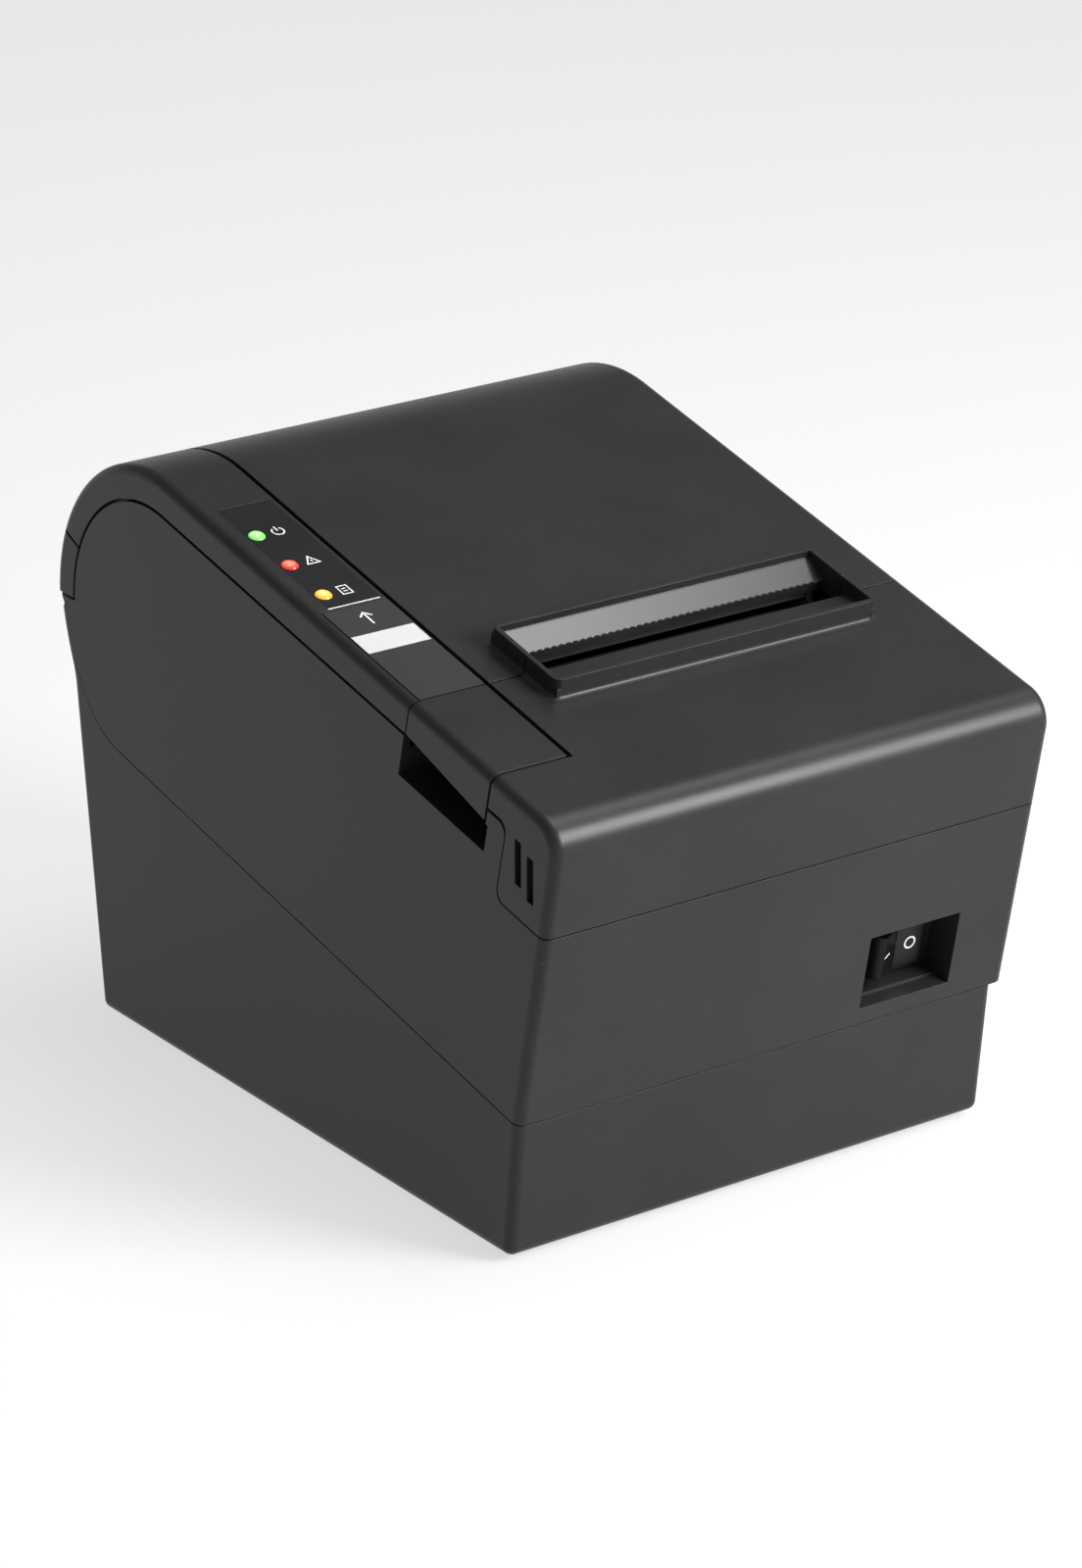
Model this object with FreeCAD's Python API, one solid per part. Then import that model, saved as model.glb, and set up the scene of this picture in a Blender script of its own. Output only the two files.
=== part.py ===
import FreeCAD
import Part
import math
import os

# Receipt printer for 80 mm thermal paper. Millimetres, +Z up, front towards -Y.
# The origin is on the table under the middle of the printer.

# Overall form
overall_width = 140.0
overall_depth = 206.0
overall_height = 148.0
foot_height = 1.5
wall = 2.2
edge_radius = 2.5
roof_slope = 13.2
rear_radius = 42.0
nose_radius = 8.0
front_lean = 11.5
base_lean = 6.3
rear_lean = 6.2
base_rear_inset = 15.5

# Parting line between the lower and the upper case
crease_z = 35.2
parting_slope = 12.8
parting_bend_inset = 27.0
parting_bend_radius = 24.0
parting_rise = 65.0
parting_end_radius = 7.0
parting_end_slope = 10.0
parting_gap = 0.25
parting_lip = 2.0
lip_thickness = 1.0
lip_gap = 0.15
lower_right_inset = 3.0

# Rear wall above the base: it steps out under the roll cover's tail
bulge_drop = 22.0
bulge_radius = 22.0
bulge_slope = 21.0
shoulder_slope = 8.0

# Seams of the top pieces, in the roof's own directions
split_setback = 54.7
split_gap = 0.5
skirt_depth = 8.0
skirt_gap = 0.8
strip_width = 20.4
strip_gap = 1.2
tail_angle = 25.0
tail_gap = 0.8
tail_seam = 0.65
panel_rear_u = -40.0
panel_low_w = 27.1
panel_radius = 3.0
panel_gap = 0.4
tongue_thickness = 1.6
tongue_drop = 4.0
tongue_root = 6.0
rail_gap = 0.3
rail_thickness = 1.6
rail_depth = 16.0
rail_front_u = 48.0
rail_end_angle = 35.0

# Control panel
film_thickness = 0.25
film_front_u = 40.5
film_rear_u = 88.1
film_margin = 4.8
film_right_margin = 1.0
lamp_radius = 2.0
lamp_first_u = 46.6
lamp_pitch = 14.1
panel_board_pitches = 2.6
lamp_inset = 7.6
lamp_proud = 0.3
lamp_bevel_share = 0.9
lamp_clearance = 0.1
key_rear_u = 39.7
key_margin = 2.8
key_gap = 0.4
key_travel = 0.8
key_skirt = 3.2
key_stem_radius = 2.5
key_slack = 0.4
switch_height = 3.0
switch_case_share = 0.67
switch_half = 3.0
plunger_radius = 1.7
key_shelf_depth = 4.8
board_depth = 11.0
board_thickness = 1.6
panel_board_inset = 4.0

# Release lever and its finger pocket
lever_front_u = -31.8
lever_front_gap = 0.8
lever_skirt_front = 11.6
pocket_front_u = -33.4
pocket_rear_u = 0.5
pocket_low_w = 19.0
pocket_depth = 12.0
pocket_wall = 1.6
pocket_top_gap = 0.7
lever_axis_inset = 1.6
lever_axis_w = 4.6
lever_pin_radius = 1.2
lever_boss_radius = 2.2
arm_thickness = 1.6
arm_top_w = 9.0
arm_low_w = 13.0
arm_rear_u = 12.0
nose_length = 6.0
latch_gap = 0.5
ear_width = 3.0
ear_top_share = 0.8
lever_boss_inset = 8.0
ear_inset = 5.2
ear_post = 3.0
ear_depth = 2.6

# Paper exit
exit_margin = 5.8
exit_front_u = -11.8
exit_rear_u = 14.1
exit_height = 5.0
exit_wall = 1.2
exit_corner = 2.0
exit_base_fillet = 1.2
slab_front_u = 6.35
slab_rear_drop = 1.8
slab_front_drop = 4.7
floor_rear_u = -1.5
floor_rear_drop = 4.1
floor_front_drop = 2.4
rib_rear_u = 60.0
rib_depth = 13.0
rib_thickness = 1.2
tear_bar_thickness = 0.5
tear_bar_inset = 1.0
cut_margin = 0.1
tear_bar_proud = 0.6
tear_bar_depth = 2.6
tooth_pitch = 2.0
tooth_depth = 0.5

# Vent slots in the sides of the front cover
vent_width = 2.4
vent_height = 10.6
vent_setback = 13.7
vent_drop = 5.5
vent_step_y = -4.5
vent_step_z = -2.6

# Power switch in its recess
switch_inset = 30.9
switch_z = 49.2
recess_width = 26.4
recess_height = 19.4
recess_depth = 9.3
recess_wall = 1.6
recess_step_depth = 4.4
recess_step = 0.5
bezel_width = 21.0
bezel_height = 15.0
bezel_thickness = 2.0
rocker_radius = 8.6
rocker_height = 11.6
rocker_gap = 0.35
rocker_valley = 3.0
rocker_half_angle = 14.5
rocker_pin_radius = 1.0
rocker_pin_reach = 0.6
rocker_flush_depth = 6.3
rocker_steps = 24
rocker_wrap = 27.0
switch_body_width = 19.0
switch_body_height = 13.0
switch_body_depth = 15.0
switch_fit = 0.15
terminal_pitch = 10.0
terminal_thickness = 0.8
terminal_width = 6.0
terminal_length = 8.0

# Roll cover hinge
hinge_inset = 2.5
hinge_drop = 2.0
hinge_radius = 2.3
hinge_pin_radius = 1.2
hinge_side_inset = 22.0
knuckle_width = 10.0
lug_width = 3.0
hinge_gap = 0.4
running_fit = 0.06
notch_clearance = 0.5

# Print unit: distances from the split along the roof and below it
platen_u = 9.0
platen_w = 19.0
platen_radius = 7.0
platen_extra = 1.0
shaft_radius = 2.5
cheek_thickness = 1.8
cheek_gap = 0.5
bushing_radius = 4.0
bushing_gap = 0.35
bushing_length = 2.0
bushing_proud = 0.4
holder_thickness = 1.5
holder_front = 1.0
holder_rear = 9.0
cheek_low = 5.0
cheek_round = 2.0
cheek_front = 8.0
plate_thickness = 1.2
plate_gap = 3.3
gear_module = 0.75
platen_teeth = 24
idler_teeth = 32
pinion_teeth = 12
gear_width = 5.0
gear_gap = 1.1
gear_backlash = 0.2
gear_addendum = 0.75
gear_dedendum = 1.25
pressure_angle = 20.0
pinion_angle = 217.0
axle_radius = 1.5
axle_head = 1.0
axle_head_length = 1.1
axle_gap = 0.3
shaft_end = 1.0
shaft_gap = 0.5
motor_radius = 17.0
motor_length = 20.0
motor_shaft_radius = 1.0
motor_shaft_depth = 8.0
motor_boss_radius = 4.5
motor_edge = 1.5
motor_floor_gap = 2.8
frame_front_reach = 22.8
frame_rear_reach = 8.2
frame_step_drop = 4.0
frame_nose = 18.0
frame_post_inset = 6.0
head_gap = 0.3
head_thickness = 2.0
head_top_w = 12.0
head_low_w = 25.0
head_short = 1.0
sink_thickness = 3.6
sink_groove = 2.2
sink_ribs = 6
spring_radius = 2.4
spring_wire = 0.6
spring_turns = 4
spring_share = 0.35
spring_sides = 6
spring_steps = 12
sink_margin = 5.0
sink_middle = 8.0
back_bar_u = -15.2
back_bar_top_w = 13.0
back_bar_low_w = 27.0
notch_flare = 6.0

# Cutter
blade_w = 7.2
blade_thickness = 0.9
blade_gap = 0.4
blade_front_u = -24.0
blade_edge_u = -1.0
blade_vee = 3.0
blade_stroke = 6.0
blade_short = 2.0
fixed_blade_u = 3.2
fixed_blade_depth = 8.0
rack_shift = 17.3
rack_u = -10.0
slot_clearance = 0.6
rack_slot_width = 11.5
rack_teeth_front = 4
rack_teeth_rear = 2
cutter_teeth = 12
pinion_proud = 0.8
bed_margin = 2.0
bed_rear = 1.5
cutter_motor_radius = 5.5
motor_clearance = 0.6
cutter_motor_length = 14.0

# Paper bucket
roll_radius = 41.5
bucket_clearance = 1.5
bucket_wall = 1.8
bucket_rear_gap = 79.0
bucket_drop = 36.0
paper_allowance = 60.0
paper_offset = 16.3
paper_side_gap = 2.0
bucket_rise = 22.0
bucket_leg_inset = 10.0
bucket_boss = 1.0
leg_radius = 4.0

# Electronics and sockets
pcb_z = 9.0
pcb_side_inset = 14.0
pcb_length = 100.0
pcb_rear_gap = 3.5
standoff_inset = 5.0
standoff_front = 6.0
standoff_rear = 24.0
board_clearance = 1.0
pcb_thickness = 1.6
standoff_radius = 3.0
socket_recess = 0.6
socket_wall = 1.2
socket_length = 15.0
socket_mouth = 11.0
socket_gap = 0.3
foot_radius = 7.0
foot_recess = 1.0
foot_inset = 14.0
foot_front_setback = 41.0
foot_rear_setback = 25.5
screw_inset = 13.0
screw_front_setback = 25.0
screw_rear_setback = 11.5
screw_seat = 12.0
screw_web = 3.0
screw_bite = 4.0
screw_slot = 0.8
screw_end_gap = 1.0
boss_gap = 0.2
embed = 0.5
screw_radius = 1.5
screw_head_radius = 2.9
screw_drive_share = 0.7
screw_head_height = 2.2
screw_length = 16.0
screw_boss_radius = 4.5
screw_fit = 0.1
tower_low = 3.0
tower_high = 10.0
floor_thickness = 2.4

# name, x, width, height, mouth width, mouth height
sockets = [
    ("power_inlet", -42.0, 14.0, 13.0, 9.0, 9.0),
    ("drawer_socket", -20.0, 14.0, 13.0, 9.8, 7.0),
    ("network_socket", 4.0, 16.4, 14.0, 11.8, 8.2),
    ("data_socket", 27.0, 12.2, 11.2, 8.6, 7.8),
]

half_width = overall_width / 2
half_depth = overall_depth / 2
paper_width = overall_width - paper_allowance
exit_width = paper_width + 2 * exit_margin
platen_length = paper_width + platen_extra
head_length = paper_width - head_short
blade_length = paper_width - blade_short
exit_x = strip_width - half_width + paper_width / 2 + paper_offset
rack_x = exit_x + rack_shift
spring_x = paper_width * spring_share
switch_x = half_width - switch_inset
hinge_x = half_width - hinge_side_inset
foot_x = half_width - foot_inset
screw_x = half_width - screw_inset
pcb_width = overall_width - 2 * pcb_side_inset
base_rear_y = half_depth - base_rear_inset
parting_bend_y = half_depth - parting_bend_inset
split_y = split_setback - half_depth
vent_first_y = vent_setback - half_depth
rear_wall_top = overall_height - rear_radius
bulge_z = rear_wall_top - bulge_drop
tail_bottom = rear_wall_top + tail_seam
hinge_y = half_depth - hinge_inset
hinge_z = rear_wall_top - hinge_drop
notch_floor = hinge_z - hinge_radius - notch_clearance
bucket_y = half_depth - bucket_rear_gap
bucket_z = rear_wall_top - bucket_drop
bucket_lip_z = bucket_z + bucket_rise
pcb_rear_y = base_rear_y - pcb_rear_gap
pcb_front_y = pcb_rear_y - pcb_length
foot_front_y = foot_front_setback - half_depth
foot_rear_y = base_rear_y - foot_rear_setback
screw_front_y = screw_front_setback - half_depth
screw_rear_y = base_rear_y - screw_rear_setback
screw_top = screw_seat + screw_length - screw_bite
addendum = gear_addendum * gear_module
dedendum = gear_dedendum * gear_module
pressure = math.tan(math.radians(pressure_angle))
bed_top = blade_w + blade_thickness + blade_gap
sin_roof = math.sin(math.radians(roof_slope))
cos_roof = math.cos(math.radians(roof_slope))
sin_front = math.sin(math.radians(front_lean))
cos_front = math.cos(math.radians(front_lean))
rear_centre = (overall_depth / 2 - rear_radius, overall_height - rear_radius)
roof_offset = rear_radius - sin_roof * rear_centre[0] + cos_roof * rear_centre[1]
nose_y = nose_radius - overall_depth / 2
nose_z = (roof_offset - nose_radius + sin_roof * nose_y) / cos_roof
front_offset = nose_radius - cos_front * nose_y - sin_front * nose_z
split_z = (roof_offset + sin_roof * split_y) / cos_roof
vent_first_z = nose_z - vent_drop
far = 2 * overall_depth
case_top = rear_wall_top + skirt_depth


def roof(along, below):
    """Side-view point: a distance behind the split along the roof, and a depth below the roof."""
    y = split_y + along * cos_roof + below * sin_roof
    z = split_z + along * sin_roof - below * cos_roof
    return (y, z)


def front_y(z, depth=0.0):
    """Y of the sloped front face at a height, or of its parallel inside the face."""
    return (depth - front_offset - sin_front * z) / cos_front


def base_front_y(z, depth=0.0):
    lean = math.radians(base_lean)
    return front_y(crease_z) + (crease_z - z) * math.tan(lean) + depth / math.cos(lean)


def base_back_y(z, depth=0.0):
    lean = math.radians(rear_lean)
    return base_rear_y + (z - foot_height) * math.tan(lean) - depth / math.cos(lean)


def vec(point, x=0.0):
    return FreeCAD.Vector(x, point[0], point[1])


def outline(corners):
    """Closed side-view outline. A corner is (y, z), or (y, z, radius) where it is rounded."""
    count = len(corners)
    starts = []
    ends = []
    arcs = []
    for index, corner in enumerate(corners):
        here = vec(corner)
        radius = corner[2] if len(corner) > 2 else 0.0
        if radius <= 0.0:
            starts.append(here)
            ends.append(here)
            arcs.append(None)
            continue
        back = (vec(corners[index - 1]) - here).normalize()
        ahead = (vec(corners[(index + 1) % count]) - here).normalize()
        half = back.getAngle(ahead) / 2
        reach = radius / math.tan(half)
        middle_way = (back + ahead).normalize()
        centre = here + middle_way * (radius / math.sin(half))
        starts.append(here + back * reach)
        ends.append(here + ahead * reach)
        arcs.append(centre - middle_way * radius)
    edges = []
    for index in range(count):
        if arcs[index] is not None:
            edges.append(Part.Arc(starts[index], arcs[index], ends[index]).toShape())
        nxt = (index + 1) % count
        if ends[index].distanceToPoint(starts[nxt]) > 1e-6:
            edges.append(Part.LineSegment(ends[index], starts[nxt]).toShape())
    return Part.Wire(edges)


def prism(corners, x_low, x_high):
    face = Part.Face(outline(corners))
    face.translate(FreeCAD.Vector(x_low, 0, 0))
    return face.extrude(FreeCAD.Vector(x_high - x_low, 0, 0))


def roof_prism(corners, x_low, x_high):
    """Prism whose corners are given along and below the roof."""
    placed = [roof(*corner[:2]) + tuple(corner[2:]) for corner in corners]
    return prism(placed, x_low, x_high)


def roof_box(u_low, u_high, w_low, w_high, x_low, x_high):
    return roof_prism([(u_low, w_low), (u_high, w_low), (u_high, w_high), (u_low, w_high)], x_low, x_high)


def box(x_low, x_high, y_low, y_high, z_low, z_high):
    corner = FreeCAD.Vector(x_low, y_low, z_low)
    return Part.makeBox(x_high - x_low, y_high - y_low, z_high - z_low, corner)


def bar_x(point, radius, x_low, x_high):
    return Part.makeCylinder(radius, x_high - x_low, vec(point, x_low), FreeCAD.Vector(1, 0, 0))


def post(x, y, radius, z_low, z_high):
    return Part.makeCylinder(radius, z_high - z_low, FreeCAD.Vector(x, y, z_low))


def fuse(shapes):
    joined = shapes[0].multiFuse(shapes[1:]) if len(shapes) > 1 else shapes[0]
    return joined.removeSplitter()


def cut(shape, tools):
    for tool in tools:
        shape = shape.cut(tool)
    return shape


def crossing(first, second):
    """Point on two lines, each given as (normal y, normal z, distance)."""
    determinant = first[0] * second[1] - first[1] * second[0]
    y = (first[2] * second[1] - first[1] * second[2]) / determinant
    z = (first[0] * second[2] - first[2] * second[0]) / determinant
    return (y, z)


def skin(depth, z_low):
    """Side outline of the top at a depth inside its outer skin, closed below at a height."""
    roof_line = (-sin_roof, cos_roof, roof_offset - depth)
    front_line = (-cos_front, -sin_front, front_offset - depth)
    rear_line = (1.0, 0.0, overall_depth / 2 - depth)
    nose = crossing(front_line, roof_line) + (max(nose_radius - depth, 0.0),)
    crown = crossing(rear_line, roof_line) + (rear_radius - depth,)
    return [(front_y(z_low, depth), z_low), nose, crown, (rear_line[2], z_low)]


def rear_wedge(low_degrees, high_degrees):
    """Sector about the centre of the rear curve, across the whole width."""
    middle_degrees = (low_degrees + high_degrees) / 2
    corners = [rear_centre]
    for degrees in (low_degrees, middle_degrees, high_degrees):
        turn = math.radians(degrees)
        corners.append((rear_centre[0] + far * math.cos(turn), rear_centre[1] + far * math.sin(turn)))
    return prism(corners, -far, far)


def arc_steps(start, heading_from, heading_to, radius):
    """Middle and end of a tangent arc in the side view, headings in degrees from +Y."""
    turn = 1.0 if heading_to > heading_from else -1.0
    points = []
    for heading in ((heading_from + heading_to) / 2, heading_to):
        first = math.radians(heading_from)
        last = math.radians(heading)
        y = start[0] + turn * radius * (math.sin(last) - math.sin(first))
        z = start[1] + turn * radius * (math.cos(first) - math.cos(last))
        points.append((y, z))
    return points


def parting_edges(raise_by):
    """The parting line from far in front of the crease to the rear wall, raised by a distance."""
    slope = math.radians(parting_slope)
    crease = (front_y(crease_z), crease_z + raise_by)
    bend = (parting_bend_y, crease[1] + (parting_bend_y - crease[0]) * math.tan(slope))
    first = arc_steps(bend, parting_slope, parting_rise, parting_bend_radius)
    second = arc_steps(first[1], parting_rise, parting_end_slope, parting_end_radius)
    start = (-far, crease[1])
    finish = (far, second[1][1])
    return [
        Part.LineSegment(vec(start), vec(crease)).toShape(),
        Part.LineSegment(vec(crease), vec(bend)).toShape(),
        Part.Arc(vec(bend), vec(first[0]), vec(first[1])).toShape(),
        Part.Arc(vec(first[1]), vec(second[0]), vec(second[1])).toShape(),
        Part.LineSegment(vec(second[1]), vec(finish)).toShape(),
    ]


def parting_side(raise_by, above, x_low=-far, x_high=far):
    """Everything above, or below, the parting line."""
    edges = parting_edges(raise_by)
    start = edges[0].Vertexes[0].Point
    finish = edges[-1].Vertexes[1].Point
    level = far if above else -far
    corner_rear = FreeCAD.Vector(0, finish.y, level)
    corner_front = FreeCAD.Vector(0, start.y, level)
    edges.append(Part.LineSegment(finish, corner_rear).toShape())
    edges.append(Part.LineSegment(corner_rear, corner_front).toShape())
    edges.append(Part.LineSegment(corner_front, start).toShape())
    face = Part.Face(Part.Wire(edges))
    face.translate(FreeCAD.Vector(x_low, 0, 0))
    return face.extrude(FreeCAD.Vector(x_high - x_low, 0, 0))


def case_profile(depth, x_low, x_high, z_low):
    """Solid of the case between the front face and the stepped rear wall, at a depth inside its skin."""
    bend = (base_back_y(bulge_z, depth), bulge_z)
    up = 90.0
    first = arc_steps(bend, up - rear_lean, up - bulge_slope, bulge_radius + depth)
    rise = (rear_wall_top - first[1][1]) / (
        math.sin(math.radians(bulge_slope)) - math.sin(math.radians(shoulder_slope)))
    second = arc_steps(first[1], up - bulge_slope, up - shoulder_slope, rise)
    edges = [
        Part.LineSegment(vec((base_back_y(z_low, depth), z_low)), vec(bend)).toShape(),
        Part.Arc(vec(bend), vec(first[0]), vec(first[1])).toShape(),
        Part.Arc(vec(first[1]), vec(second[0]), vec(second[1])).toShape(),
    ]
    corners = [second[1], (second[1][0], case_top), (front_y(case_top, depth), case_top),
               (front_y(crease_z, depth), crease_z), (base_front_y(z_low, depth), z_low),
               (base_back_y(z_low, depth), z_low)]
    for here, ahead in zip(corners, corners[1:]):
        edges.append(Part.LineSegment(vec(here), vec(ahead)).toShape())
    face = Part.Face(Part.Wire(edges))
    face.translate(FreeCAD.Vector(x_low, 0, 0))
    return face.extrude(FreeCAD.Vector(x_high - x_low, 0, 0))


def side_edges(shape, x_side, keep):
    """Edges of a solid that lie in the plane X = x_side and pass a test on their middle."""
    found = []
    for edge in shape.Edges:
        limits = edge.BoundBox
        if abs(limits.XMin - x_side) > 1e-6 or abs(limits.XMax - x_side) > 1e-6:
            continue
        if keep(edge.CenterOfMass):
            found.append(edge)
    return found


def gear(centre, teeth, x_low, x_high, bore, phase):
    """Spur gear along X with straight-sided teeth, thinned by the backlash at its pitch circle."""
    pitch = gear_module * teeth / 2
    tip = pitch + addendum
    root = pitch - dedendum
    half_pitch = math.pi * gear_module / 4 - gear_backlash / 2
    points = []
    for tooth in range(teeth):
        middle = math.radians(phase) + 2 * math.pi * tooth / teeth
        for side, radius in ((-1, root), (-1, tip), (1, tip), (1, root)):
            half = (half_pitch - (radius - pitch) * pressure) / radius
            angle = middle + side * half
            points.append((centre[0] + radius * math.cos(angle), centre[1] + radius * math.sin(angle)))
    return prism(points, x_low, x_high).cut(bar_x(centre, bore, x_low, x_high))


parts = {}

# The top of the printer as one rounded form, and the room inside its skin
top_form = prism(skin(0.0, crease_z), -half_width, half_width)
rounded = []
for side in (-half_width, half_width):
    rounded += side_edges(top_form, side, lambda middle: middle.z > crease_z + 1.0)
top_form = top_form.makeFillet(edge_radius, rounded)
inner_half = half_width - wall
top_room = prism(skin(wall, crease_z - wall), -inner_half, inner_half)
top_skin = top_form.cut(top_room)
below_skirt = prism(skin(skirt_depth, crease_z - wall), -far, far)
top_band = top_skin.cut(below_skirt)

half_split = split_gap / 2
strip_right = strip_width - half_width
cover_left = strip_right + strip_gap
behind_split = roof_box(half_split, far, -far, far, -far, far)
tail_half_gap = math.degrees(tail_gap / 2 / rear_radius)
straight = 180.0
strip_zone = rear_wedge(tail_angle + tail_half_gap, straight)
tail_zone = rear_wedge(-straight / 4, tail_angle - tail_half_gap)
above_tail_bottom = box(-far, far, -far, far, tail_bottom, far)


def control_strip():
    """Fixed strip on the left: skin and skirt, shelf for the key, recess and holes for film and lamps."""
    band = top_band.common(box(-far, strip_right, -far, far, 0, far))
    strip = band.common(behind_split).common(strip_zone)
    rib = roof_box(key_rear_u + key_gap, film_rear_u, wall / 2, key_shelf_depth, strip_right - wall,
                   strip_right)
    shelf = roof_box(half_split, key_rear_u + key_gap + wall, key_shelf_depth, key_shelf_depth + wall,
                     -inner_half - wall / 2, strip_right)
    end_wall = roof_box(key_rear_u + key_gap, key_rear_u + key_gap + wall, wall / 2,
                        key_shelf_depth + wall / 2,
                        -inner_half, strip_right)
    strip = fuse([strip, rib, shelf, end_wall])
    key_hole = roof_box(-far, key_rear_u + key_gap, -far, key_shelf_depth, key_margin - half_width - key_gap,
                        far)
    film_bed = roof_box(film_front_u, film_rear_u, -far, film_thickness,
                        film_margin - half_width, strip_right - film_right_margin)
    holes = [key_hole, film_bed]
    for index in range(3):
        holes.append(roof_bar(lamp_first_u + index * lamp_pitch, lamp_inset - half_width,
                              lamp_radius + lamp_clearance, -far, skirt_depth))
    holes.append(roof_bar(key_rear_u / 2, key_stem_x, key_stem_radius + key_gap, 0, far))
    return cut(strip, holes)


def roof_bar(along, x, radius, w_low, w_high):
    """Round bar square to the roof."""
    start = vec(roof(along, w_high), x)
    finish = vec(roof(along, w_low), x)
    return Part.makeCylinder(radius, (finish - start).Length, start, finish - start)


key_stem_x = (strip_right + key_margin - half_width) / 2

parts["control_strip"] = control_strip()

film = roof_box(film_front_u, film_rear_u, 0.0, film_thickness, film_margin - half_width,
                strip_right - film_right_margin)
for index in range(3):
    film = film.cut(roof_bar(lamp_first_u + index * lamp_pitch, lamp_inset - half_width,
                             lamp_radius + lamp_clearance, -wall, wall))
parts["panel_film"] = film

for index, lamp in enumerate(("paper_lamp", "error_lamp", "power_lamp")):
    along = lamp_first_u + index * lamp_pitch
    stem = roof_bar(along, lamp_inset - half_width, lamp_radius, -lamp_proud, board_depth)
    rim = max(stem.Edges, key=lambda edge: edge.CenterOfMass.z)
    parts[lamp] = stem.makeChamfer(lamp_proud * lamp_bevel_share, [rim])


def feed_key():
    """Flush key in front of the film, with a stem down to its switch."""
    left = key_margin - half_width
    plate = roof_box(half_split, key_rear_u, 0.0, wall, left, strip_right)
    skirt = roof_box(half_split, key_rear_u, wall / 2, key_skirt, left, strip_right)
    hollow = roof_box(half_split + wall, key_rear_u - wall, wall, far, left + wall, strip_right - wall)
    stem = roof_bar(key_rear_u / 2, key_stem_x, key_stem_radius, wall / 2,
                    board_depth - switch_height - key_travel - key_slack)
    return fuse([fuse([plate, skirt]).cut(hollow), stem])


parts["feed_key"] = feed_key()


def release_lever():
    """Lever plate with a tapering skirt, a pivot boss along the roof and a latch arm."""
    left_zone = roof_box(lever_front_u, -half_split, -far, far, -far, strip_right)
    plate = top_band.common(left_zone)
    skirt = roof_prism([(lever_front_u, edge_radius), (-half_split, edge_radius), (-half_split, skirt_depth),
                        (lever_front_u, lever_skirt_front)], -half_width, -inner_half)
    axis_x = strip_right - lever_axis_inset
    boss_from = lever_front_u + lever_boss_inset
    boss_to = -lever_boss_inset
    boss = roof_cylinder(boss_from, boss_to, axis_x, lever_axis_w, lever_boss_radius)
    web = roof_box(boss_from, boss_to, wall / 2, lever_axis_w, axis_x - lever_boss_radius / 2,
                   axis_x + lever_boss_radius / 2)
    arm_half = arm_thickness / 2
    arm = roof_box(boss_to - nose_length, arm_rear_u, arm_top_w, arm_low_w, axis_x - arm_half,
                   axis_x + arm_half)
    arm_root = roof_box(boss_to - nose_length, boss_to, lever_axis_w, arm_low_w, axis_x - arm_half,
                        axis_x + arm_half)
    nose = roof_box(arm_rear_u - nose_length, arm_rear_u, arm_top_w, arm_low_w, axis_x,
                    cover_left - latch_gap)
    solid = fuse([plate, skirt, boss, web, arm, arm_root, nose])
    pin_hole = roof_cylinder(lever_front_u, 0.0, axis_x, lever_axis_w, lever_pin_radius + running_fit)
    return solid.cut(pin_hole)


def roof_cylinder(u_low, u_high, x, w, radius):
    """Round bar along the roof's slope."""
    start = vec(roof(u_low, w), x)
    finish = vec(roof(u_high, w), x)
    return Part.makeCylinder(radius, (finish - start).Length, start, finish - start)


parts["release_lever"] = release_lever()
lever_axis_x = strip_right - lever_axis_inset
ear_front_u = lever_front_u + ear_inset
ear_rear_u = -ear_inset
parts["lever_pin"] = roof_cylinder(ear_front_u - ear_width / 2, ear_rear_u + ear_width / 2, lever_axis_x,
                                   lever_axis_w, lever_pin_radius)

# Paper exit: a thin rim that stands on the roof, shared by the two covers
exit_left = exit_x - exit_width / 2
exit_right = exit_x + exit_width / 2


def exit_rim(u_low, u_high):
    """The part of the exit rim between two distances along the roof, solid inside."""
    outer = roof_box(exit_front_u, exit_rear_u, -exit_height, wall / 2, exit_left, exit_right)
    upright = [edge for edge in outer.Edges
               if abs(abs(edge.tangentAt(edge.FirstParameter).z) - cos_roof) < 1e-6]
    outer = outer.makeFillet(exit_corner, upright)
    return outer.common(roof_box(u_low, u_high, -far, far, -far, far))


def exit_room(u_low, u_high, corners):
    """Room inside the rim, with a side outline that leaves the sloping guide."""
    room = roof_prism(corners, exit_left + exit_wall, exit_right - exit_wall)
    return room.common(roof_box(u_low, u_high, -far, far, -far, far))


def base_round(cover):
    """Round the foot of the rim where it meets the roof."""
    edges = []
    roof_normal = FreeCAD.Vector(0, -sin_roof, cos_roof)
    level = roof_normal.dot(vec((split_y, split_z)))
    for edge in cover.Edges:
        ends = [vertex.Point for vertex in edge.Vertexes]
        if any(abs(roof_normal.dot(point) - level) > 1e-4 for point in ends):
            continue
        middle = edge.CenterOfMass
        near_x = min(abs(middle.x - exit_left), abs(middle.x - exit_right)) < exit_corner
        along = (middle.y - split_y) / cos_roof
        near_u = min(abs(along - exit_front_u), abs(along - exit_rear_u)) < exit_corner
        inside = exit_left - 1 < middle.x < exit_right + 1 and exit_front_u - 1 < along < exit_rear_u + 1
        if inside and (near_x or near_u):
            edges.append(edge)
    return cover.makeFillet(exit_base_fillet, edges)


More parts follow.
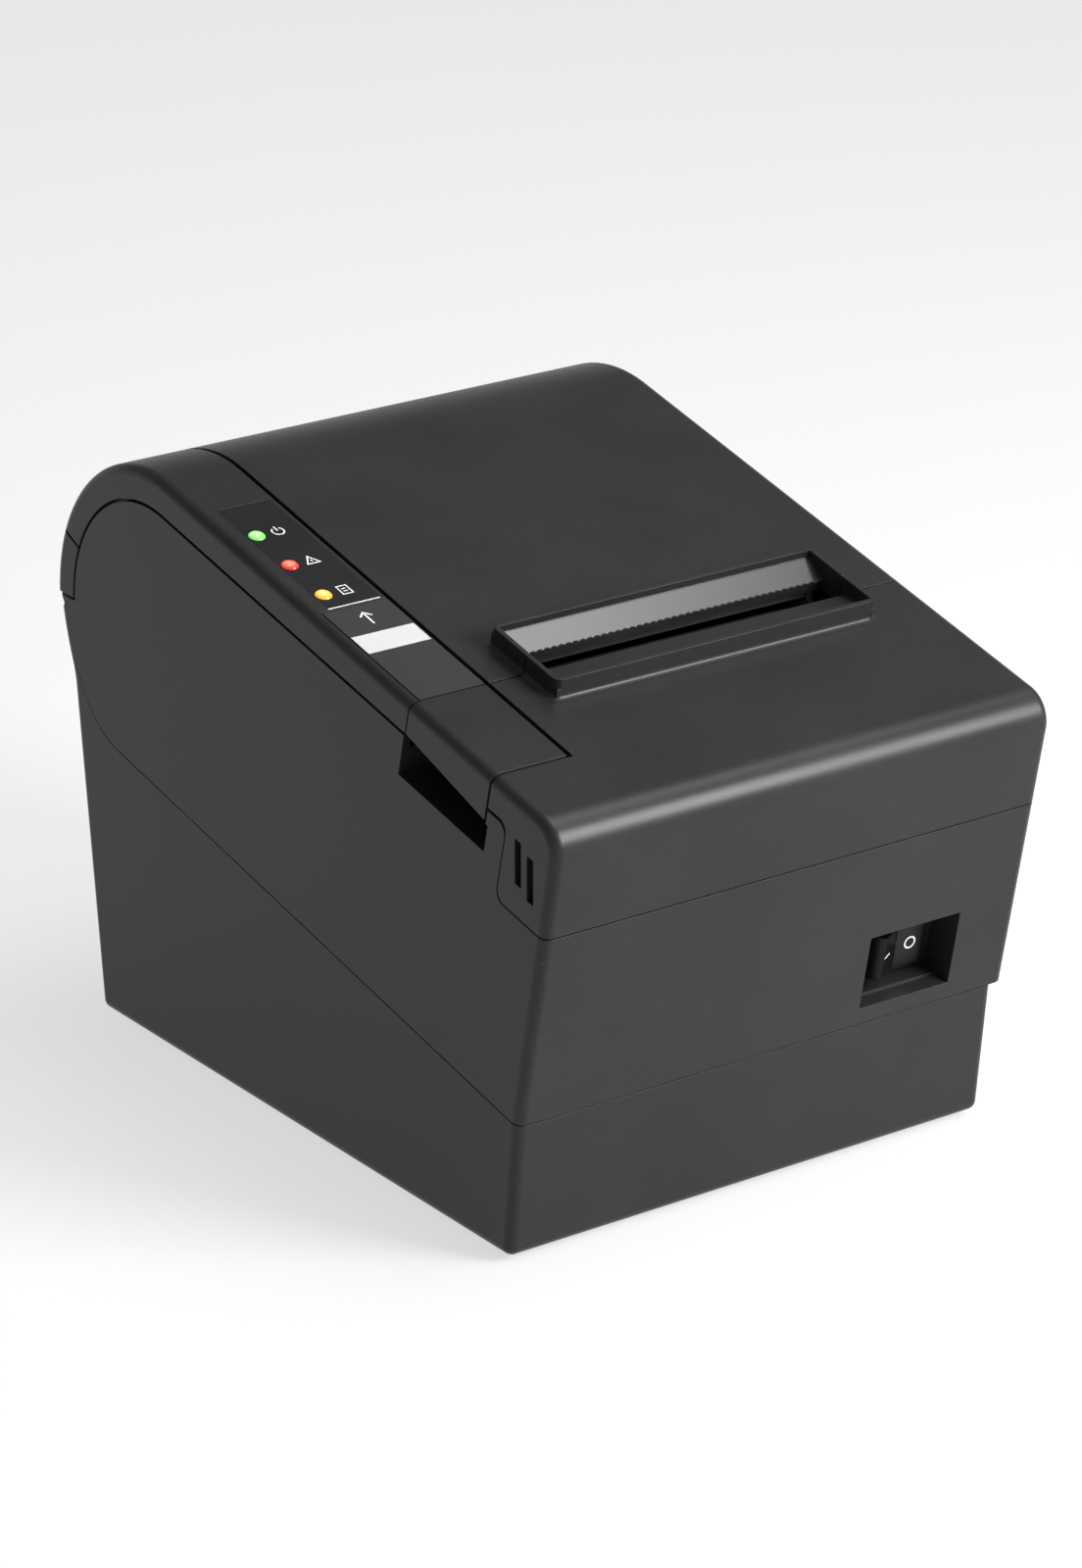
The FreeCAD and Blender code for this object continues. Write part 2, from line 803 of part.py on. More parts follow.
def roll_cover():
    """Hinged cover with the full-width tail, the rear half of the exit rim and two hinge knuckles."""
    main = top_band.common(box(cover_left, far, -far, far, 0, far)).common(behind_split)
    tail = top_band.common(box(-far, cover_left + wall, -far, far, 0, far)).common(tail_zone)
    cover = fuse([main, tail]).common(above_tail_bottom)
    rim = exit_rim(half_split, far)
    cover = base_round(fuse([cover, rim]))
    top = -2 * exit_height
    room = exit_room(half_split - 1, far, [
        (-far, top), (exit_rear_u - exit_wall, top), (exit_rear_u - exit_wall, slab_rear_drop - exit_height),
        (slab_front_u, slab_front_drop - exit_height), (slab_front_u, far), (-far, far)])
    cover = cover.cut(room)
    slab = roof_prism([(slab_front_u, slab_front_drop - exit_height),
                       (exit_rear_u, slab_rear_drop - exit_height),
                       (exit_rear_u, wall), (slab_front_u, wall)], exit_left + exit_wall / 2,
                       exit_right - exit_wall / 2)
    rib = roof_box(half_split, rib_rear_u, wall / 2, rib_depth, cover_left, cover_left + rib_thickness)
    pieces = [cover, slab, rib]
    for x in (-hinge_x, hinge_x):
        barrel = bar_x((hinge_y, hinge_z), hinge_radius, x - knuckle_width / 2, x + knuckle_width / 2)
        web = prism([(hinge_y - hinge_radius / 2, hinge_z), (hinge_y + hinge_radius, hinge_z),
                     (hinge_y + hinge_radius, tail_bottom + wall),
                     (hinge_y - hinge_radius / 2, tail_bottom + wall)],
                    x - knuckle_width / 2, x + knuckle_width / 2)
        pieces += [barrel, web]
    cover = fuse(pieces)
    return cover.cut(bar_x((hinge_y, hinge_z), hinge_pin_radius + running_fit, -far, far))


parts["roll_cover"] = roll_cover()


def front_cover():
    """Sliding front cover: roof, nose, panels, vents, lever notch and front half of the exit rim."""
    zone = roof_prism([(-half_split, -far), (-far, -far), (-far, panel_low_w),
                       (panel_rear_u, panel_low_w, panel_radius), (panel_rear_u, skirt_depth, panel_radius),
                       (-half_split, skirt_depth)], -far, far)
    cover = top_skin.common(zone)
    notch = roof_box(lever_front_u - lever_front_gap, far, -far, far, -far, cover_left)
    cover = cover.cut(notch)
    cover = base_round(fuse([cover, exit_rim(-far, -half_split)]))
    room = exit_room(-far, 1 - half_split, [
        (exit_front_u + exit_wall, -2 * exit_height), (far, -2 * exit_height), (far, far),
        (floor_rear_u, far),
        (floor_rear_u, floor_rear_drop - exit_height), (exit_front_u + exit_wall,
                                                        floor_front_drop - exit_height)])
    cover = cover.cut(room)
    floor = roof_prism([(exit_front_u, floor_front_drop - exit_height),
                        (floor_rear_u, floor_rear_drop - exit_height),
                        (floor_rear_u, wall), (exit_front_u, wall)],
                       exit_left + exit_wall / 2, exit_right - exit_wall / 2)
    cover = fuse([cover, floor])
    slope = math.tan(math.radians(roof_slope)) * vent_width / 2
    for index in range(2):
        y = vent_first_y + index * vent_step_y
        z = vent_first_z + index * vent_step_z
        half_y = vent_width / 2
        half_z = vent_height / 2
        slot = [(y - half_y, z - half_z - slope), (y + half_y, z - half_z + slope),
                (y + half_y, z + half_z + slope), (y - half_y, z + half_z - slope)]
        for side in (-1, 1):
            middle = side * (half_width - wall / 2)
            cover = cover.cut(prism(slot, middle - wall, middle + wall))
    return cover


parts["front_cover"] = front_cover()


def tear_bar():
    """Toothed steel strip on the front edge of the paper guide."""
    top = slab_front_drop - exit_height - tear_bar_proud
    left = exit_left + exit_wall + tear_bar_inset
    right = exit_right - exit_wall - tear_bar_inset
    bar = roof_box(slab_front_u - tear_bar_thickness, slab_front_u, top, top + tear_bar_depth, left, right)
    count = int((right - left) / tooth_pitch)
    start = (left + right - count * tooth_pitch) / 2
    corner_low = vec(roof(slab_front_u - tear_bar_thickness - cut_margin, top + tooth_depth))
    corner_high = vec(roof(slab_front_u - tear_bar_thickness - cut_margin, top - cut_margin))
    deep = vec(roof(slab_front_u + cut_margin, top + tooth_depth)) - corner_low
    notches = []
    for index in range(count):
        x = start + index * tooth_pitch
        low = corner_low + FreeCAD.Vector(x + tooth_pitch / 2, 0, 0)
        first = corner_high + FreeCAD.Vector(x + tooth_depth / 2, 0, 0)
        last = corner_high + FreeCAD.Vector(x + tooth_pitch - tooth_depth / 2, 0, 0)
        notches.append(Part.Face(Part.makePolygon([low, first, last, low])).extrude(deep))
    return bar.cut(Part.makeCompound(notches))


parts["tear_bar"] = tear_bar()

# Power switch: places in the recess are (x, up the panel, into the panel)
panel_up = FreeCAD.Vector(0, -sin_front, cos_front)
panel_in = FreeCAD.Vector(0, cos_front, sin_front)
recess_origin = FreeCAD.Vector(switch_x, front_y(switch_z), switch_z)


def panel_box(width, height, d_low, d_high, shift_low=0.0):
    """Box centred on the switch, square to the front face."""
    corner = recess_origin + FreeCAD.Vector(-width / 2, 0, 0)
    corner = corner - panel_up * (height / 2 - shift_low) + panel_in * d_low
    across = FreeCAD.Vector(width, 0, 0)
    up = panel_up * (height - shift_low)
    wire = Part.makePolygon([corner, corner + across, corner + across + up, corner + up, corner])
    return Part.Face(wire).extrude(panel_in * (d_high - d_low))


def recess_cut():
    outer = panel_box(recess_width, recess_height, -wall, recess_step_depth)
    inner = panel_box(recess_width, recess_height, 0.0, recess_depth, recess_step)
    return outer.fuse(inner)


def recess_tub():
    around = 2 * recess_wall
    return panel_box(recess_width + around, recess_height + around, wall / 2, recess_depth + recess_wall)


def panel_point(x, up, inward):
    return recess_origin + FreeCAD.Vector(x, 0, 0) + panel_up * up + panel_in * inward


pivot_depth = rocker_flush_depth + rocker_valley * math.cos(math.radians(rocker_half_angle))


def rocker():
    """Rocker with two faces in a shallow vee and round ends about its pivot; the far half is pressed in."""
    turn = math.radians(rocker_half_angle)
    points = [(0.0, rocker_valley)]
    first = math.asin(rocker_valley * math.cos(turn) / rocker_radius) + turn
    last = -math.radians(rocker_wrap)
    for index in range(rocker_steps + 1):
        angle = first + (last - first) * index / rocker_steps
        points.append((rocker_radius * math.cos(angle), rocker_radius * math.sin(angle)))
    mirrored = [(-x, v) for x, v in reversed(points[1:])]
    ring = points + mirrored
    spun = []
    for x, v in ring:
        spun.append((x * math.cos(turn) + v * math.sin(turn), v * math.cos(turn) - x * math.sin(turn)))
    low = -rocker_height / 2
    corners = [panel_point(x, low, pivot_depth - v) for x, v in spun]
    face = Part.Face(Part.makePolygon(corners + corners[:1]))
    solid = face.extrude(panel_up * rocker_height)
    pin_half = rocker_height / 2 + rocker_pin_reach
    pin_start = panel_point(0, -pin_half, pivot_depth)
    pin = Part.makeCylinder(rocker_pin_radius, 2 * pin_half, pin_start, panel_up)
    return fuse([solid, pin])


parts["power_rocker"] = rocker()


def switch_body():
    """Snap-in switch body: bezel, open box behind it, pivot holes and two terminals."""
    bezel = panel_box(bezel_width, bezel_height, recess_depth - bezel_thickness, recess_depth)
    body = panel_box(switch_body_width, switch_body_height, recess_depth - wall,
                     recess_depth + switch_body_depth)
    opening_width = 2 * (rocker_radius + rocker_gap)
    opening_height = rocker_height + 2 * rocker_gap
    hollow = panel_box(opening_width, opening_height, 0.0, recess_depth + rocker_radius + rocker_gap)
    solid = fuse([bezel, body]).cut(hollow)
    hole_start = panel_point(0, -switch_body_height / 2, pivot_depth)
    solid = solid.cut(Part.makeCylinder(rocker_pin_radius + running_fit, switch_body_height, hole_start,
                                        panel_up))
    back = recess_depth + switch_body_depth
    for x in (-terminal_pitch / 2, terminal_pitch / 2):
        start = panel_point(x - terminal_thickness / 2, -terminal_width / 2, back - embed)
        across = FreeCAD.Vector(terminal_thickness, 0, 0)
        up = panel_up * terminal_width
        wire = Part.makePolygon([start, start + across, start + across + up, start + up, start])
        solid = solid.fuse(Part.Face(wire).extrude(panel_in * (terminal_length + embed)))
    return solid.removeSplitter()


parts["switch_body"] = switch_body()


def upper_case():
    """Upper case: leaning front with the switch recess, sides up to the skirts, rear wall with hinge lugs."""
    z_top = rear_wall_top
    form = case_profile(0.0, -half_width, half_width, 0.0)
    edges = []
    for side in (-half_width, half_width):
        edges += side_edges(form, side, lambda middle: embed < middle.z < case_top - embed)
    form = form.makeFillet(edge_radius, edges)
    flange_left = half_width - lower_right_inset - lip_thickness / 2
    room = case_profile(wall, -inner_half, inner_half, -wall)
    room = room.cut(parting_side(parting_gap + wall, False, flange_left, far))
    shell = form.cut(room).common(box(-far, far, -far, far, 0.0, z_top))
    shell = shell.common(parting_side(parting_gap, True))
    side_top = top_skin.common(box(-far, far, -far, far, z_top - wall, far))
    side_top = side_top.common(prism(skin(skirt_depth + skirt_gap, crease_z), -far, far))
    shell = fuse([shell, side_top])
    front_zone = roof_prism([(far, -far), (-far, -far), (-far, panel_low_w + panel_gap),
                             (panel_rear_u + panel_gap, panel_low_w + panel_gap, panel_radius),
                             (panel_rear_u + panel_gap, skirt_depth + skirt_gap, panel_radius),
                             (far, skirt_depth + skirt_gap)], -far, far)
    front_only = box(-far, far, -far, 0.0, 0.0, far)
    shell = shell.cut(front_zone.common(front_only))
    pieces = [shell, recess_tub()]
    lip_low = panel_low_w + panel_gap + tongue_drop
    for side in (-1, 1):
        outer = side * (inner_half - panel_gap)
        inner = outer - side * tongue_thickness
        tongue = roof_box(panel_rear_u - 2 * tongue_root, panel_rear_u + tongue_root,
                          skirt_depth + tongue_drop, lip_low,
                          min(outer, inner), max(outer, inner))
        root_edge = side * (inner_half + wall / 2)
        root = roof_box(panel_rear_u + 2 * panel_gap, panel_rear_u + tongue_root, skirt_depth + tongue_drop,
                        lip_low,
                        min(root_edge, inner), max(root_edge, inner))
        pieces += [tongue, root]
    pocket_inner = pocket_depth - half_width
    tub = roof_box(pocket_front_u - pocket_wall, pocket_rear_u + pocket_wall,
                   lever_skirt_front + pocket_top_gap,
                   pocket_low_w + pocket_wall, -inner_half - wall / 2, pocket_inner + pocket_wall)
    ear_floor = lever_skirt_front + pocket_wall
    pieces.append(tub)
    for along in (ear_front_u, ear_rear_u):
        low = along - ear_width / 2
        high = along + ear_width / 2
        ear_top = lever_axis_w - lever_boss_radius * ear_top_share
        pieces.append(roof_box(low, high, ear_top, lever_axis_w + ear_depth, pocket_inner,
                               lever_axis_x + ear_post / 2))
        pieces.append(roof_box(low, high, ear_top, ear_floor, pocket_inner, pocket_inner + ear_post))
    rail_left = rail_gap / 2 - inner_half
    rail = prism(skin(wall + rail_gap, crease_z), rail_left, rail_left + rail_thickness)
    rail = rail.cut(prism(skin(rail_depth, 0.0), -far, far))
    rail = rail.common(roof_box(rail_front_u, far, -far, far, -far, far)).common(rear_wedge(rail_end_angle,
                                                                                            straight))
    rail_root = rail.common(prism(skin(skirt_depth + skirt_gap + embed, crease_z), -far, far))
    rail_root = rail_root.fuse(rail_root.translated(FreeCAD.Vector(-embed, 0, 0)))
    pieces += [rail, rail_root]
    for x in (-hinge_x, hinge_x):
        for side in (-1, 1):
            middle = x + side * (knuckle_width / 2 + hinge_gap + lug_width / 2)
            pieces.append(bar_x((hinge_y, hinge_z), hinge_radius, middle - lug_width / 2,
                                middle + lug_width / 2))
    for x in (-screw_x, screw_x - lower_right_inset):
        for y in (screw_front_y, screw_rear_y):
            pieces.append(screw_tower(x, y))
    case = fuse(pieces)
    tools = [recess_cut(), panel_box(switch_body_width + 2 * switch_fit, switch_body_height + 2 * switch_fit,
                                     0.0, recess_depth + 2 * recess_wall)]
    pocket = roof_prism([(pocket_rear_u, pocket_low_w), (pocket_front_u, pocket_low_w),
                         (pocket_front_u, lever_skirt_front + pocket_top_gap),
                         (lever_front_u - lever_front_gap, lever_skirt_front + pocket_top_gap),
                         (lever_front_u - lever_front_gap, -far), (pocket_rear_u, -far)], -far, pocket_inner)
    tools.append(pocket)
    for x in (-hinge_x, hinge_x):
        half = knuckle_width / 2 + hinge_gap
        tools.append(box(x - half, x + half, overall_depth / 4, far, notch_floor, far))
    tools.append(bar_x((hinge_y, hinge_z), hinge_pin_radius, -far, far))
    tools.append(roof_cylinder(ear_front_u - ear_width / 2, ear_rear_u + ear_width / 2, lever_axis_x,
                               lever_axis_w, lever_pin_radius))
    return cut(case, tools)


def screw_tower(x, y):
    """Boss of the upper case that takes a case screw; a web ties it to the side wall."""
    top = screw_top + screw_end_gap
    tower = post(x, y, screw_boss_radius, screw_seat + boss_gap, top)
    side = half_width - wall / 2 if x > 0 else wall / 2 - half_width
    web = box(min(x, side), max(x, side), y - wall / 2, y + wall / 2, parting_z(y) + tower_low,
              parting_z(y) + tower_high)
    bridge = post(x, y, screw_boss_radius, top - embed, parting_z(y) + tower_high)
    hole = post(x, y, screw_radius, 0.0, screw_top)
    return fuse([tower, bridge, web]).cut(hole)


def parting_z(y):
    return crease_z + (y - front_y(crease_z)) * math.tan(math.radians(parting_slope))


hinge_pins = []
for x in (-hinge_x, hinge_x):
    reach = knuckle_width / 2 + hinge_gap + lug_width
    hinge_pins.append(bar_x((hinge_y, hinge_z), hinge_pin_radius, x - reach, x + reach))
parts["hinge_pins"] = Part.makeCompound(hinge_pins)
parts["upper_case"] = upper_case()

# Sockets on the rear wall
socket_z = pcb_z + pcb_thickness


def socket(x, width, height, mouth_width, mouth_height):
    face_y = base_back_y(socket_z) - socket_recess
    solid = box(x - width / 2, x + width / 2, face_y - socket_length, face_y, socket_z, socket_z + height)
    middle = socket_z + height / 2
    return solid.cut(box(x - mouth_width / 2, x + mouth_width / 2, face_y - socket_mouth,
                         face_y + socket_wall,
                         middle - mouth_height / 2, middle + mouth_height / 2))


for name, x, width, height, mouth_width, mouth_height in sockets:
    parts[name] = socket(x, width, height, mouth_width, mouth_height)


def lower_case():
    """Base tray with leaning ends, parting lip, socket openings, board standoffs and frame posts."""
    right = half_width - lower_right_inset
    form = case_profile(0.0, -half_width, right, foot_height)
    edges = []
    for side in (-half_width, right):
        edges += side_edges(form, side, lambda middle: middle.z < case_top - embed)
    for edge in form.Edges:
        limits = edge.BoundBox
        if limits.ZMax < foot_height + 1e-6 and limits.XLength > overall_width / 2:
            edges.append(edge)
    form = form.makeFillet(edge_radius, edges)
    floor = foot_height + floor_thickness
    room = case_profile(wall, -inner_half, right - wall, -wall)
    room = room.common(box(-far, far, -far, far, floor, far))
    tray = form.cut(room).common(parting_side(0.0, False))
    lip_out = case_profile(wall - embed, -inner_half - embed, right - wall + embed, foot_height)
    lip_fit = case_profile(wall + lip_gap, lip_gap - inner_half, right - wall - lip_gap, foot_height)
    lip_depth = lip_gap + lip_thickness
    lip_in = case_profile(wall + lip_depth, lip_depth - inner_half, right - wall - lip_depth, 0.0)
    low_band = parting_side(0.0, False).cut(parting_side(-parting_lip, False))
    high_band = parting_side(parting_lip, False).cut(parting_side(0.0, False))
    lip = fuse([lip_out.common(low_band), lip_fit.common(high_band)]).cut(lip_in)
    pieces = [tray, lip]
    for x in (pcb_left + standoff_inset, pcb_left + pcb_width - standoff_inset):
        for y in (pcb_front_y + standoff_front, pcb_rear_y - standoff_rear):
            pieces.append(post(x, y, standoff_radius, floor - embed, pcb_z))
    for x in (frame_left + frame_post_inset, frame_right - frame_post_inset):
        for y in (frame_front_y + frame_post_inset, frame_rear_y - frame_post_inset):
            pieces.append(post(x, y, leg_radius, floor - embed, frame_floor_z))
    for x in (bucket_left + bucket_leg_inset, bucket_right - bucket_leg_inset):
        pieces.append(post(x, bucket_y, leg_radius, floor - embed, floor + bucket_boss))
    for x in (-screw_x, screw_x - lower_right_inset):
        for y in (screw_front_y, screw_rear_y):
            pieces.append(post(x, y, screw_boss_radius, floor - embed, screw_seat))
    tray = fuse(pieces)
    tools = []
    for name, x, width, height, mouth_width, mouth_height in sockets:
        tools.append(box(x - width / 2 - socket_gap, x + width / 2 + socket_gap,
                         base_back_y(socket_z) - wall * 3,
                         far, socket_z - socket_gap, socket_z + height + socket_gap))
    for x in (-screw_x, screw_x - lower_right_inset):
        for y in (screw_front_y, screw_rear_y):
            tools.append(post(x, y, screw_head_radius + screw_fit, 0.0, screw_seat - screw_web))
            tools.append(post(x, y, screw_radius + screw_fit, 0.0, screw_seat + embed))
    for x in (-foot_x, foot_x - lower_right_inset):
        for y in (foot_front_y, foot_rear_y):
            tools.append(post(x, y, foot_radius, 0.0, foot_height + foot_recess))
    return cut(tray, tools)


platen = roof(platen_u, platen_w)
pitch_radius = gear_module / 2
idler = (platen[0], platen[1] - pitch_radius * (platen_teeth + idler_teeth))
turn = math.radians(pinion_angle)
pinion_distance = pitch_radius * (idler_teeth + pinion_teeth)
pinion = (idler[0] + pinion_distance * math.cos(turn), idler[1] + pinion_distance * math.sin(turn))
frame_front_y = platen[0] - frame_front_reach
frame_rear_y = platen[0] + frame_rear_reach
frame_floor_z = pinion[1] - motor_radius - motor_floor_gap
frame_step_z = pinion[1] - frame_step_drop
pcb_left = -pcb_width / 2 - lower_right_inset / 2
cheek_out = platen_length / 2 + cheek_gap + cheek_thickness
plate_in = cheek_out + plate_gap
frame_left = exit_x - plate_in - plate_thickness
frame_right = exit_x + plate_in + plate_thickness
bucket_half = paper_width / 2 + paper_side_gap
bucket_left = exit_x - bucket_half - bucket_wall
bucket_right = exit_x + bucket_half + bucket_wall
parts["lower_case"] = lower_case()

feet = []
screws = []
for x in (-1, 1):
    foot_place = x * foot_x - (lower_right_inset if x > 0 else 0.0)
    screw_place = x * screw_x - (lower_right_inset if x > 0 else 0.0)
    for y in (foot_front_y, foot_rear_y):
        pad = post(foot_place, y, foot_radius, 0.0, foot_height + foot_recess)
        bottom = [edge for edge in pad.Edges if edge.BoundBox.ZMax < 1e-6]
        feet.append(pad.makeChamfer(foot_height / 3, bottom))
    for y in (screw_front_y, screw_rear_y):
        head = post(screw_place, y, screw_head_radius, screw_seat - screw_web - screw_head_height,
                    screw_seat - screw_web)
        shank = post(screw_place, y, screw_radius, screw_seat - screw_web - embed, screw_top - screw_end_gap)
        drive = screw_head_radius * screw_drive_share
        slot = screw_slot / 2
        slot_top = screw_seat - screw_web - screw_head_height / 2
        cross = fuse([box(screw_place - drive, screw_place + drive, y - slot, y + slot, 0.0, slot_top),
                      box(screw_place - slot, screw_place + slot, y - drive, y + drive, 0.0, slot_top)])
        screws.append(fuse([head, shank]).cut(cross))
parts["rubber_feet"] = Part.makeCompound(feet)
parts["case_screws"] = Part.makeCompound(screws)

# Main board, panel board and the key's switch
board = box(pcb_left, pcb_left + pcb_width, pcb_front_y, pcb_rear_y, pcb_z, pcb_z + pcb_thickness)
for x in (-screw_x, screw_x - lower_right_inset):
    board = board.cut(post(x, screw_rear_y, screw_boss_radius + board_clearance, 0.0, far))
for x in (bucket_left + bucket_leg_inset, bucket_right - bucket_leg_inset):
    board = board.cut(post(x, bucket_y, leg_radius + board_clearance, 0.0, far))
parts["main_board"] = board
parts["panel_board"] = roof_box(key_rear_u / 2 - 2 * switch_half,
                                lamp_first_u + panel_board_pitches * lamp_pitch,
                                board_depth,
                                board_depth + board_thickness, panel_board_inset - inner_half,
                                strip_right - panel_board_inset / 2)
parts["feed_switch"] = fuse([
    roof_box(key_rear_u / 2 - switch_half, key_rear_u / 2 + switch_half,
             board_depth - switch_height * switch_case_share,
             board_depth,
             key_stem_x - switch_half, key_stem_x + switch_half),
    roof_bar(key_rear_u / 2, key_stem_x, plunger_radius, board_depth - switch_height,
             board_depth - switch_height / 3)])

# Print unit
platen_left = exit_x - platen_length / 2
platen_right = exit_x + platen_length / 2
parts["platen_roller"] = bar_x(platen, platen_radius, platen_left, platen_right).cut(
    bar_x(platen, shaft_radius, platen_left, platen_right))
gear_right = frame_left - gear_gap
gear_left = gear_right - gear_width
parts["platen_shaft"] = bar_x(platen, shaft_radius, gear_left - shaft_gap, frame_right + shaft_end)
idler_phase = 90.0
platen_phase = -90.0 + 180.0 / platen_teeth
contact = pinion_angle - idler_phase
idler_turn = contact / (360.0 / idler_teeth)
pinion_phase = pinion_angle + 180.0 + (0.5 + idler_turn) * 360.0 / pinion_teeth
parts["platen_gear"] = gear(platen, platen_teeth, gear_left, gear_right, shaft_radius, platen_phase)
parts["idler_gear"] = gear(idler, idler_teeth, gear_left, gear_right, axle_radius + running_fit, idler_phase)
parts["motor_pinion"] = gear(pinion, pinion_teeth, gear_left, gear_right, motor_shaft_radius, pinion_phase)
parts["idler_axle"] = fuse([
    bar_x(idler, axle_radius, gear_left - axle_gap - axle_head_length, frame_left + plate_thickness),
    bar_x(idler, axle_radius + axle_head, gear_left - axle_gap - axle_head_length, gear_left - axle_gap)])
parts["motor_shaft"] = bar_x(pinion, motor_shaft_radius, gear_left,
                             frame_left + plate_thickness + motor_shaft_depth)


def feed_motor():
    start = frame_left + plate_thickness
    can = bar_x(pinion, motor_radius, start, start + motor_length)
    rim = [edge for edge in can.Edges if abs(edge.CenterOfMass.x - start - motor_length) < 1e-6]
    can = can.makeChamfer(motor_edge, rim)
    boss = bar_x(pinion, motor_boss_radius, frame_left, start)
    return fuse([can, boss]).cut(bar_x(pinion, motor_shaft_radius + running_fit, frame_left - embed,
                                       start + motor_shaft_depth + embed))


parts["feed_motor"] = feed_motor()


def print_frame():
    """Bent steel frame: floor, two side plates with open notches for the platen bushings, and a back bar."""
    floor = box(frame_left, frame_right, frame_front_y, frame_rear_y, frame_floor_z,
                frame_floor_z + plate_thickness)
    top_front = roof(blade_front_u - bed_margin, bed_top)
    top_rear = roof(platen_u + platen_radius, head_top_w)
    side = [(frame_front_y, frame_floor_z), (frame_rear_y, frame_floor_z),
            (frame_rear_y, top_rear[1] - bushing_radius * 2),
            top_rear, roof(platen_u - platen_radius, bed_top), top_front,
            (top_front[0], top_front[1] - frame_nose),
            (frame_front_y, frame_step_z)]
    left = prism(side, frame_left, frame_left + plate_thickness)
    right = prism(side, frame_right - plate_thickness, frame_right)
    bar = roof_box(back_bar_u, back_bar_u + plate_thickness, back_bar_top_w, back_bar_low_w, frame_left,
                   frame_right)
    frame = fuse([floor, left, right, bar])
    half = bushing_radius + bushing_gap
    flare = (far - platen[1]) * math.tan(math.radians(notch_flare))
    notch = prism([(platen[0] - half, far), (platen[0] - half, platen[1]), (platen[0] + half, platen[1]),
                   (platen[0] + half + flare, far)], -far, far)
    tools = [notch, bar_x(platen, half, -far, far)]
    tools.append(bar_x(pinion, motor_boss_radius, -far, frame_left + plate_thickness))
    tools.append(bar_x(idler, axle_radius, -far, frame_left + plate_thickness))
    tools.append(roof_bar(rack_u, rack_x, cutter_motor_radius + motor_clearance, 0.0,
                          bed_top + plate_thickness + cutter_motor_length + motor_clearance))
    return cut(frame, tools)


parts["print_frame"] = print_frame()

bushings = []
for side in (-1, 1):
    inner = exit_x + side * (plate_in - bushing_proud)
    outer = inner + side * bushing_length
    bush = bar_x(platen, bushing_radius, min(inner, outer), max(inner, outer))
    bushings.append(bush.cut(bar_x(platen, shaft_radius + running_fit, -far, far)))
parts["platen_bushings"] = Part.makeCompound(bushings)


def platen_holder():
    """Bracket under the roll cover: a top plate and two cheeks that carry the platen shaft."""
    half = cheek_out
    top = roof_box(slab_front_u + holder_front, platen_u + holder_rear, wall, wall + holder_thickness,
                   exit_x - half, exit_x + half)
    pieces = [top]
    for side in (-1, 1):
        inner = exit_x + side * (half - cheek_thickness)
        outer = exit_x + side * half
        cheek = roof_prism([(slab_front_u + holder_front, wall), (platen_u + holder_rear, wall),
                            (platen_u + holder_rear, platen_w, cheek_round),
                            (platen_u + cheek_low, platen_w + cheek_low, cheek_round),
                            (platen_u - cheek_low, platen_w + cheek_low, cheek_round),
                            (platen_u - cheek_low, platen_w - cheek_front)], min(inner, outer),
                            max(inner, outer))
        pieces.append(cheek)
    return fuse(pieces).cut(bar_x(platen, shaft_radius + running_fit, -far, far))


parts["platen_holder"] = platen_holder()

head_front_u = platen_u - platen_radius - head_gap
head_half = head_length / 2
parts["print_head"] = roof_box(head_front_u - head_thickness, head_front_u, head_top_w, head_low_w,
                               exit_x - head_half, exit_x + head_half)


def heat_sink():
    rear = head_front_u - head_thickness
    block = roof_box(rear - sink_thickness, rear, head_top_w, head_low_w, frame_left + plate_thickness,
                     frame_right - plate_thickness)
    pitch = (head_low_w - head_top_w) / sink_ribs
    for index in range(sink_ribs):
        low = head_top_w + (index + 0.25) * pitch
        for side in (-1, 1):
            first = exit_x + side * sink_middle
            last = exit_x + side * (spring_x - sink_margin)
            block = block.cut(roof_box(rear - 2 * sink_thickness, rear - sink_thickness + sink_groove, low,
                                       low + pitch / 2,
                                       min(first, last), max(first, last)))
    return block


parts["heat_sink"] = heat_sink()


def coil(start, way, side, length):
    """Compression spring: a wire of a few flat sides wound about an axis."""
    up = way.cross(side)
    count = spring_turns * spring_steps
    pitch = (length - spring_wire) / count
    sections = []
    for index in range(count + 1):
        angle = 2 * math.pi * index / spring_steps
        out = side * math.cos(angle) + up * math.sin(angle)
        middle = start + way * (spring_wire / 2 + pitch * index) + out * spring_radius
        ring = []
        for corner in range(spring_sides + 1):
            turn = 2 * math.pi * (corner % spring_sides) / spring_sides
            ring.append(middle + (out * math.cos(turn) + way * math.sin(turn)) * (spring_wire / 2))
        sections.append(Part.makePolygon(ring))
    return Part.makeLoft(sections, True, True)


def head_springs():
    rear = vec(roof(head_front_u - head_thickness - sink_thickness, (head_top_w + head_low_w) / 2))
    front = vec(roof(back_bar_u + plate_thickness, (head_top_w + head_low_w) / 2))
    way = (rear - front).normalize()
    length = front.distanceToPoint(rear)
    springs = []
    for side in (-1, 1):
        start = front + FreeCAD.Vector(exit_x + side * spring_x, 0, 0)
        springs.append(coil(start, way, FreeCAD.Vector(1, 0, 0), length))
    return Part.makeCompound(springs)


parts["head_springs"] = head_springs()

# Cutter: fixed blade on the cover's bracket, moving blade with a rack driven by a pinion
parts["fixed_blade"] = roof_box(fixed_blade_u, fixed_blade_u + fixed_blade_depth,
                                blade_w + blade_thickness + blade_gap,
                                blade_w + 2 * blade_thickness + blade_gap,
                                exit_x - cheek_out + cheek_thickness,
                                exit_x + cheek_out - cheek_thickness)
cutter_radius = gear_module * cutter_teeth / 2
rack_pitch = math.pi * gear_module


